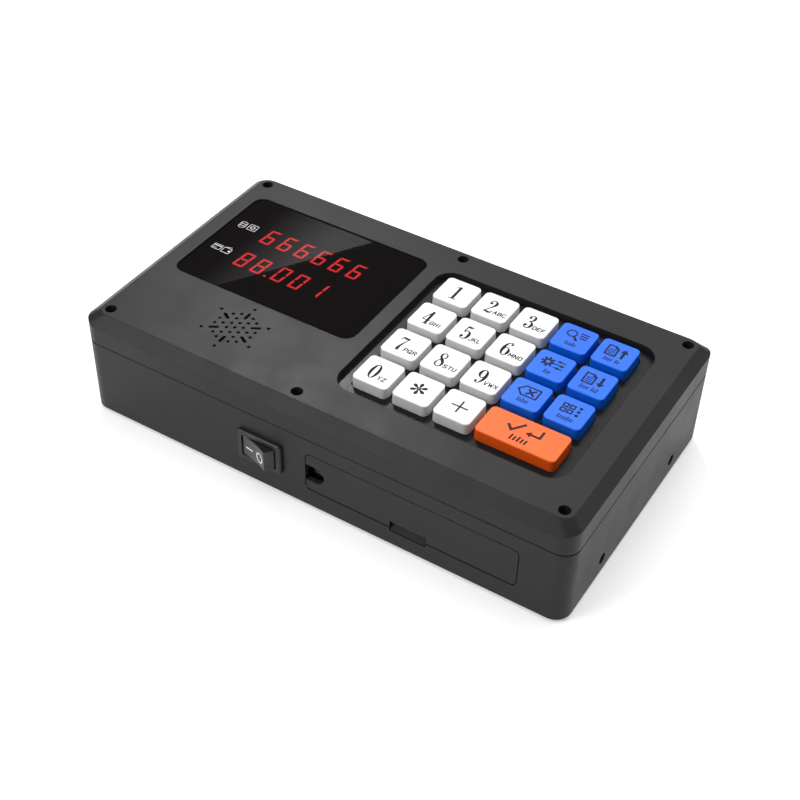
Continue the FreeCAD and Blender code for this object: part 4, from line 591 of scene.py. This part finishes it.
def icon(pr, kind):
    """Function sign over a row of short upright bars where a caption would be."""
    bars = CAPTIONS[kind]
    big = kind == "key_enter"
    pitch, wide = (1.55, 0.85) if big else (0.98, 0.52)
    x = -(len(bars) - 1) * pitch / 2
    for ch in bars:
        if ch != " ":
            low, high = -5.0, (-3.1 if ch == "L" else -3.7) + (0.35 if big else 0.0)
            line(pr, [(x - 0.12, low), (x + 0.12, high)], wide)
        x += pitch
    pr.scale, pr.lift, pr.heavy = (1.0, 1.35, 1.2) if kind == "key_enter" else (0.98, 1.3, 1.18)
    w = 0.62
    if kind == "key_query":
        pr.disc(-2.2, 1.2, 2.35, 1.72)
        line(pr, [(-0.65, -0.45), (1.0, -2.3)], 0.95)
        for i, x in enumerate((1.5, 1.7, 2.1)):
            line(pr, [(x, 2.9 - 1.5 * i), (4.6, 2.9 - 1.5 * i)], w)
    elif kind in ("key_page_up", "key_page_down"):
        line(pr, [(-4.4, -2.9), (-4.4, 3.2), (-1.3, 3.2), (0.0, 1.9), (0.0, -2.9)], w, True)
        line(pr, [(-1.4, 3.0), (-1.4, 1.8), (-0.2, 1.8)], 0.45)
        for i in range(3):
            line(pr, [(-3.4, 0.8 - 1.2 * i), (-1.0, 0.8 - 1.2 * i)], 0.42)
        s = 1 if kind == "key_page_up" else -1
        line(pr, [(2.9, -2.7 * s + 0.15), (2.9, 1.2 * s + 0.15)], 1.0)
        pr.prism([(1.1, 0.9 * s + 0.15), (2.9, 3.1 * s + 0.15), (4.7, 0.9 * s + 0.15)])
    elif kind == "key_set":
        pr.disc(-2.3, 0.3, 1.95, 0.95, 32)
        for i in range(8):
            a = math.pi / 4 * i
            line(pr, [(-2.3 + 2.1 * math.cos(a), 0.3 + 2.1 * math.sin(a)), (-2.3 + 2.6 * math.cos(a), 0.3 + 2.6 * math.sin(a))], 0.85)
        for i, k in enumerate((0.9, 2.5, 1.5)):
            y = 2.4 - 2.1 * i
            line(pr, [(1.2, y), (4.6, y)], 0.5)
            pr.disc(1.2 + k, y, 0.72)
    elif kind == "key_clear":
        line(pr, [(-4.6, 0.2), (-2.2, 3.0), (4.2, 3.0), (4.2, -2.6), (-2.2, -2.6)], w, True)
        line(pr, [(-0.5, 1.7), (2.5, -1.3)], 0.75)
        line(pr, [(-0.5, -1.3), (2.5, 1.7)], 0.75)
    elif kind == "key_function":
        for x in (-2.9, 0.0):
            for y in (1.7, -1.3):
                line(pr, [(x - 0.95, y - 0.95), (x + 0.95, y - 0.95), (x + 0.95, y + 0.95), (x - 0.95, y + 0.95)], 0.55, True)
        for y in (2.5, 0.2, -2.1):
            pr.disc(3.2, y, 0.78)
    elif kind == "key_enter":
        line(pr, [(-6.9, 0.3), (-4.9, -1.9), (-1.2, 3.0)], 1.0)
        line(pr, [(6.6, 3.0), (6.6, -0.6), (2.6, -0.6)], 0.9)
        pr.prism([(2.9, 1.0), (0.7, -0.6), (2.9, -2.2)])


for n in KEYS:
    lo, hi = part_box(n)
    c = (lo + hi) / 2
    top = hi.z
    pr = Print(-0.00003 / MM, 0.00003 / MM, 0.004)
    if n in WHITE:
        ch = n[4:]
        if ch == "star":
            for i in range(6):
                a = math.pi / 3 * i + math.pi / 2
                cs, sn = math.cos(a), math.sin(a)
                pr.ribbon([(r * cs, r * sn, ww) for r, ww in ((0.15, 0.5), (0.9, 0.62), (1.7, 1.15), (2.4, 1.5), (2.95, 1.4), (3.3, 0.85), (3.5, 0.3))])
        elif ch == "plus":
            line(pr, [(-3.0, -0.2), (3.3, -0.2)], 0.74)
            line(pr, [(0.15, -3.35), (0.15, 2.95)], 0.74)
        elif ch == "1":
            numeral(pr, ch, -2.2, -4.9, 4.3, 8.9)
        else:
            numeral(pr, ch, -3.5, -4.9, 3.95, 8.7)
            g = GROUPS[ch]
            letters(pr, g, 1.0 if len(g) == 3 else 1.4, -4.2, 1.95, 1.08, 0.44, 0.06)
        surf, slot = M["ink_black"], "key_white"
    else:
        icon(pr, n)
        surf, slot = (M["ink_brown"], "key_orange") if n == "key_enter" else (M["ink_dark"], "key_blue")
    pr.done("legend_" + n[4:], surf, n + "_cap", Matrix.Translation((c.x, c.y, top)) @ Matrix.Scale(MM, 4))

# ---------------------------------------------------------------- key dome mat
lo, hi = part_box("key_mat")
web_t = 0.001
SPOTS = {n: (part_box(n)[0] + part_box(n)[1]) / 2 for n in KEYS}


def lathe(name, prof, surface, body, at, k=40):
    """Closed turned piece from an (r, z) loop; points with r = 0 are on the axis."""
    bm = bmesh.new()
    rings = []
    for r, z in prof:
        rings.append([bm.verts.new((at.x, at.y, z))] if r == 0 else
                     [bm.verts.new((at.x + r * math.cos(2 * math.pi * i / k), at.y + r * math.sin(2 * math.pi * i / k), z)) for i in range(k)])
    for a, b in zip(rings, rings[1:] + (rings[:1] if len(rings[0]) > 1 and len(rings[-1]) > 1 else [])):
        for i in range(k):
            j = (i + 1) % k
            q = [a[i % len(a)], a[j % len(a)], b[j % len(b)], b[i % len(b)]]
            q = [v for i_, v in enumerate(q) if v not in q[:i_]]
            if len(q) > 2:
                bm.faces.new(q)
    bmesh.ops.recalc_face_normals(bm, faces=bm.faces)
    me = bpy.data.meshes.new(name)
    bm.to_mesh(me)
    bm.free()
    for p in me.polygons:
        p.use_smooth = True
    o = bpy.data.objects.new(name, me)
    scene.collection.objects.link(o)
    me.materials.append(surface.mat)
    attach(o, body)
    return o


zt = hi.z
zw = lo.z + web_t
for n in KEYS:
    p = SPOTS[n]
    prof = [(5.2, zw / MM - 0.3), (5.1, zw / MM + 0.1), (4.6, zw / MM + 0.45), (4.0, zw / MM + 1.5), (3.5, zw / MM + 2.4), (3.15, zt / MM - 0.12), (2.95, zt / MM), (0, zt / MM),
            (0, zt / MM - 0.75), (2.3, zt / MM - 0.75), (2.6, zw / MM + 1.9), (3.2, zw / MM + 1.0), (3.9, zw / MM + 0.1), (4.4, zw / MM - 0.3)]
    d = lathe("dome_" + n[4:], [(r * MM, z * MM) for r, z in prof], M["silicone"], "case", p)
    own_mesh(d)

bm = bmesh.new()
x0, y0, x1, y1 = lo.x, lo.y, hi.x, hi.y
web = bpy.data.meshes.new("mat_web")


def rounded(x0, y0, x1, y1, r, k=6):
    out = []
    for cx, cy, a in ((x1 - r, y1 - r, 0), (x0 + r, y1 - r, 90), (x0 + r, y0 + r, 180), (x1 - r, y0 + r, 270)):
        out += [(cx + r * math.cos(math.radians(a + 90 * i / k)), cy + r * math.sin(math.radians(a + 90 * i / k))) for i in range(k + 1)]
    return out


def sheet_with_windows(name, outline, windows, z0, z1, surface, body):
    """Flat sheet with through windows: planar fill between loops, then walls."""
    cu = bpy.data.curves.new(name, "CURVE")
    cu.dimensions = "2D"
    cu.fill_mode = "BOTH"
    for loop in [outline] + windows:
        s = cu.splines.new("POLY")
        s.points.add(len(loop) - 1)
        for p, (x, y) in zip(s.points, loop):
            p.co = (x / MM, y / MM, 0, 1)
        s.use_cyclic_u = True
    cu.extrude = (z1 - z0) / 2 / MM
    tmp = bpy.data.objects.new(name + "_outline", cu)
    scene.collection.objects.link(tmp)
    bpy.context.view_layer.update()
    me = bpy.data.meshes.new_from_object(tmp.evaluated_get(bpy.context.evaluated_depsgraph_get()))
    bpy.data.objects.remove(tmp)
    bpy.data.curves.remove(cu)
    me.name = name
    me.transform(Matrix.Translation((0, 0, (z0 + z1) / 2)) @ Matrix.Scale(MM, 4))
    bm = bmesh.new()
    bm.from_mesh(me)
    bmesh.ops.remove_doubles(bm, verts=bm.verts, dist=1e-6)
    bmesh.ops.recalc_face_normals(bm, faces=bm.faces)
    bm.to_mesh(me)
    bm.free()
    me.materials.clear()
    me.materials.append(surface.mat)
    o = bpy.data.objects.new(name, me)
    scene.collection.objects.link(o)
    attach(o, body)
    return o


holes = [[(SPOTS[n].x + 0.0043 * math.cos(2 * math.pi * i / 32), SPOTS[n].y + 0.0043 * math.sin(2 * math.pi * i / 32)) for i in range(32)] for n in KEYS]
web = sheet_with_windows("mat_web", rounded(lo.x, lo.y, hi.x, hi.y, 0.003), holes, lo.z, zw, M["silicone"], "case")
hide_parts("key_mat")

# ------------------------------------------------------------- lit digit rows
up_lo, up_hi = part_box("led_digits_upper")
dn_lo, dn_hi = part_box("led_digits_lower")
SEG = {"6": "afgedc", "8": "abcdefg", "0": "abcdef", "1": "bc"}


def digit(pr, ch, x, y, w=5.15, h=10.3, t=0.98, lean=0.085, gap=0.16):
    """Seven-segment figure with its foot at (x, y); bars have mitred ends."""
    def m(px, py):
        return x + px + lean * py, y + py
    q, hm = t, h / 2
    S = {
        "a": [(gap, h), (w - gap, h), (w - q - gap, h - q), (q + gap, h - q)],
        "d": [(q + gap, q), (w - q - gap, q), (w - gap, 0), (gap, 0)],
        "f": [(0, h - gap), (q, h - q - gap), (q, hm + q / 2 + gap), (0, hm + gap)],
        "b": [(w, h - gap), (w, hm + gap), (w - q, hm + q / 2 + gap), (w - q, h - q - gap)],
        "e": [(0, gap), (0, hm - gap), (q, hm - q / 2 - gap), (q, q + gap)],
        "c": [(w, gap), (w - q, q + gap), (w - q, hm - q / 2 - gap), (w, hm - gap)],
        "g": [(gap * 1.2, hm), (q * 0.75 + gap, hm + q / 2), (w - q * 0.75 - gap, hm + q / 2), (w - gap * 1.2, hm), (w - q * 0.75 - gap, hm - q / 2), (q * 0.75 + gap, hm - q / 2)],
    }
    for s in SEG[ch]:
        pr.prism([m(*p) for p in S[s]])


case_cy = (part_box("lower_housing")[0].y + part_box("lower_housing")[1].y) / 2 / MM
pr = Print(-0.02, 0.04, 0.0)
for i in range(6):
    digit(pr, "6", -84.55 + 9.02 * i, 20.25 + case_cy)
pr.done("segments_upper", M["glow"], "case", Matrix.Translation((0, 0, up_hi.z)) @ Matrix.Scale(MM, 4))
pr = Print(-0.02, 0.04, 0.0)
for ch, x in (("8", -84.55), ("8", -75.8), ("0", -65.0), ("0", -56.0), ("1", -46.1)):
    digit(pr, ch, x, 0.95 + case_cy)
pr.disc(-67.7, 1.5 + case_cy, 0.62)
pr.done("segments_lower", M["glow"], "case", Matrix.Translation((0, 0, dn_hi.z)) @ Matrix.Scale(MM, 4))

# pictograms printed on the lens, left of each row: coins and a note, and a card and a purse
ll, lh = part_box("display_lens")
tl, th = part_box("lens_tape")
pr = Print(-0.015, 0.012, 0.0)
pr.heavy = 0.8
for cx, cy, kind in ((-92.5, 24.0 + case_cy, 0), (-92.3, 4.5 + case_cy, 1)):
    if kind == 0:
        for i in range(3):
            y = cy - 1.7 + 1.5 * i
            pr.ribbon([(cx - 2.6 + 1.6 * math.cos(2 * math.pi * k / 22), y + 0.7 * math.sin(2 * math.pi * k / 22), 0.3) for k in range(22)], True)
        line(pr, [(cx - 4.2, cy - 1.7), (cx - 4.2, cy + 1.3)], 0.28)
        line(pr, [(cx - 1.0, cy - 1.7), (cx - 1.0, cy + 1.3)], 0.28)
        line(pr, [(cx + 0.4, cy - 2.0), (cx + 4.6, cy - 2.0), (cx + 4.6, cy + 2.0), (cx + 0.4, cy + 2.0)], 0.34, True)
        pr.disc(cx + 2.5, cy, 1.15, 0.8)
    else:
        line(pr, [(cx - 4.5, cy - 1.7), (cx - 0.4, cy - 1.7), (cx - 0.4, cy + 1.7), (cx - 4.5, cy + 1.7)], 0.34, True)
        line(pr, [(cx - 4.4, cy + 0.75), (cx - 0.5, cy + 0.75)], 0.6)
        line(pr, [(cx - 3.9, cy - 0.8), (cx - 2.4, cy - 0.8)], 0.3)
        line(pr, [(cx + 0.7, cy - 2.0), (cx + 4.6, cy - 2.0), (cx + 4.6, cy + 1.5), (cx + 0.7, cy + 1.5)], 0.34, True)
        line(pr, [(cx + 0.9, cy + 1.6), (cx + 3.8, cy + 2.5)], 0.3)
        pr.disc(cx + 3.9, cy - 0.3, 0.5)
pr.done("lens_print", M["ink_white"], "case", Matrix.Translation((0, 0, lh.z)) @ Matrix.Scale(MM, 4))

# black light mask between the digit modules and the lens
W = 0.0003
mask = sheet_with_windows("display_mask", rounded(tl.x + 0.0045, tl.y + 0.0045, th.x - 0.0045, th.y - 0.0045, 0.0022),
                          [[(a.x - W, a.y - W), (b.x + W, a.y - W), (b.x + W, b.y + W), (a.x - W, b.y + W)] for a, b in ((up_lo, up_hi), (dn_lo, dn_hi))],
                          up_hi.z - 0.0003, up_hi.z - 0.0001, M["tape"], "case")

# ------------------------------------------------------------ rocker legends
J = {j["name"]: j for j in frame["joints"]}
rk = J["rocker_tilt"]
piv = Vector(rk["pos_m"])
lo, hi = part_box("rocker")
th0 = -math.radians((rk["range_deg"][1] if "range_deg" in rk else 32.4) / 2)
# frame of the rocker: local x along its length, local y towards its face (row -Y)
pr = Print(-0.02, 0.02, 0.002)
half, face, dip = 6.5, 5.1, 4.5
Rr = (half * half + (face - dip) ** 2) / (2 * (face - dip))


def on_face(u):
    """Depth of the curved face in front of the pivot at u along the rocker."""
    return dip + Rr - math.sqrt(Rr * Rr - u * u)


bm = bmesh.new()


def face_band(path, w, closed=False):
    """Ink band on the rocker's curved face; path is (u, v), u along the rocker and v upwards."""
    n = len(path)
    L, R = [], []
    for i, (u, v) in enumerate(path):
        a = path[(i - 1) % n] if closed or i else path[i]
        b = path[(i + 1) % n] if closed or i + 1 < n else path[i]
        dx, dy = b[0] - a[0], b[1] - a[1]
        d = math.hypot(dx, dy)
        L.append((u - dy / d * w / 2, v + dx / d * w / 2))
        R.append((u + dy / d * w / 2, v - dx / d * w / 2))
    rows = []
    for pts, dz in ((L, 0.03), (R, 0.03), (L, -0.05), (R, -0.05)):
        rows.append([bm.verts.new((u, -(on_face(u) + dz), v)) for u, v in pts])
    lt, rt, lb, rb = rows
    for i in range(n if closed else n - 1):
        j = (i + 1) % n
        for q in ((rt[i], rt[j], lt[j], lt[i]), (lb[i], lb[j], rb[j], rb[i]), (lt[i], lt[j], lb[j], lb[i]), (rt[j], rt[i], rb[i], rb[j])):
            bm.faces.new(q)
    if not closed:
        bm.faces.new((lt[0], lb[0], rb[0], rt[0]))
        bm.faces.new((rt[-1], rb[-1], lb[-1], lt[-1]))


face_band([(-4.9 + 3.7 * i / 9, -0.3) for i in range(10)], 0.72)
face_band([(3.35 + 1.85 * math.cos(2 * math.pi * i / 32), -0.5 + 2.3 * math.sin(2 * math.pi * i / 32)) for i in range(32)], 0.6, True)
bmesh.ops.recalc_face_normals(bm, faces=bm.faces)
me = bpy.data.meshes.new("rocker_marks")
bm.to_mesh(me)
bm.free()
me.transform(Matrix.Translation((piv.x, piv.y, (lo.z + hi.z) / 2)) @ Matrix.Rotation(th0, 4, "Z") @ Matrix.Scale(MM, 4))
me.materials.append(M["ink_white"].mat)
marks = bpy.data.objects.new("rocker_marks", me)
scene.collection.objects.link(marks)
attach(marks, "rocker_arm")

# --------------------------------------------------------- floor, light, camera
floor_me = bpy.data.meshes.new("floor")
floor_me.from_pydata([(-6, -6, -0.0001), (6, -6, -0.0001), (6, 6, -0.0001), (-6, 6, -0.0001)], [], [(0, 1, 2, 3)])
floor = bpy.data.objects.new("floor", floor_me)
scene.collection.objects.link(floor)
fs = Surface("pale_floor")
fs.color(fs.blend(fs.span(fs.noise(2.0, 3.0), 0.0, 1.0, 0.3, 0.7), (0.86, 0.86, 0.865, 1), (0.88, 0.88, 0.885, 1)))
fs.rough(fs.span(fs.noise(40.0, 4.0), 0.6, 0.75, 0.3, 0.7))
fs.p.inputs["Specular IOR Level"].default_value = 0.2
fs.p.inputs["Emission Color"].default_value = (1.0, 1.0, 1.0, 1.0)
fs.p.inputs["Emission Strength"].default_value = 0.35
floor_me.materials.append(fs.mat)

world = bpy.data.worlds.new("studio")
scene.world = world
world.use_nodes = True
world.node_tree.nodes["Background"].inputs["Color"].default_value = (1.0, 1.0, 1.0, 1)
world.node_tree.nodes["Background"].inputs["Strength"].default_value = 0.13

centre = Vector((0.0, 0.0, 0.03))
EYE = Vector((0.23426, -0.39062 + case_cy * MM, 0.42041))
lens_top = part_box("display_lens")[1].z


def softbox(name, pos, size, watts, aim=centre, glossy=True):
    li = bpy.data.lights.new(name, "AREA")
    li.shape = "RECTANGLE"
    li.size = li.size_y = size
    li.energy = watts
    o = bpy.data.objects.new(name, li)
    scene.collection.objects.link(o)
    o.location = pos
    o.rotation_euler = (Vector(aim) - Vector(pos)).to_track_quat("-Z", "Y").to_euler()
    o.visible_glossy = glossy
    return o


def mirrored(x, y, height):
    """Where the reflection seen at (x, y) mm of the top comes from, at a height in metres."""
    k = (height - lens_top) / (EYE.z - lens_top)
    return (x * MM * (1 + k) - EYE.x * k, (y + case_cy) * MM * (1 + k) - EYE.y * k, height)


LIGHTS = [("light_top", (-0.1, 0.0, 1.5), 1.2, 1.6, True), ("light_top_soft", (0.1, 0.0, 1.4), 1.2, 9.5, False),
          ("light_right_high", (1.06, 0.0, 1.06), 0.8, 1.0, True), ("light_right", (1.02, 0.9, 0.64), 0.6, 2.2, True),
          ("light_back", (0.0, 1.06, 1.06), 0.8, 5.0, True), ("light_sheen", mirrored(0, -78, 1.05), 0.18, 7.2, True),
          ("light_front_left", (-1.04, -1.04, 0.31), 0.6, 2.5, True), ("light_front", (0.0, -1.06, 1.06), 0.8, 1.0, True),
          ("light_bevel", (-0.64, -1.02, 0.9), 0.6, 9.0, True)]
for name, pos, size, watts, glossy in LIGHTS:
    softbox(name, pos, size, watts, glossy=glossy)

# pale card that the window reflects: a straight cut across, fading out to the left
card_z = 0.70
edge = [(-34.6, 53.4), (-92.0, 53.4), (-92.0, -24.0), (-82.2, -24.0)]
card_me = bpy.data.meshes.new("reflector_card")
card_me.from_pydata([mirrored(x, y, card_z) for x, y in edge], [], [(0, 1, 2, 3)])
card = bpy.data.objects.new("reflector_card", card_me)
scene.collection.objects.link(card)
card.visible_camera = card.visible_diffuse = card.visible_shadow = card.visible_transmission = False
cs = Surface("reflector_card")
sx = cs.node("ShaderNodeSeparateXYZ")
cs.link(cs.co, sx.inputs[0])
ramp = cs.span(sx.outputs["X"], 0.0, 1.0, mirrored(-88.0, 0, card_z)[0], mirrored(-57.0, 0, card_z)[0])
soft = cs.node("ShaderNodeMath", operation="POWER")
soft.inputs[1].default_value = 1.25
cs.link(ramp, soft.inputs[0])
cs.link(cs.span(soft.outputs[0], 0.13, 1.87), cs.p.inputs["Emission Strength"])
cs.p.inputs["Emission Color"].default_value = (1.0, 0.98, 0.99, 1.0)
cs.color((0.0, 0.0, 0.0, 1.0))
cs.p.inputs["Specular IOR Level"].default_value = 0.0
card_me.materials.append(cs.mat)

R0 = Vector((0.8492, 0.5277, 0.0223))
R1 = Vector((0.367, -0.5592, -0.7433))
R2 = Vector((-0.3797, 0.6394, -0.6685))
cam_data = bpy.data.cameras.new("camera")
cam_data.sensor_width = 36.0
cam_data.sensor_fit = "HORIZONTAL"
cam_data.lens = 64.92
cam_data.clip_start = 0.01
cam = bpy.data.objects.new("camera", cam_data)
scene.collection.objects.link(cam)
rot = Matrix((R0.normalized(), (-R1).normalized(), (-R2).normalized())).transposed()
cam.matrix_world = Matrix.Translation(EYE) @ rot.to_4x4()
scene.camera = cam
scene.view_settings.view_transform = "Standard"
scene.view_settings.look = "None"

bpy.context.view_layer.update()
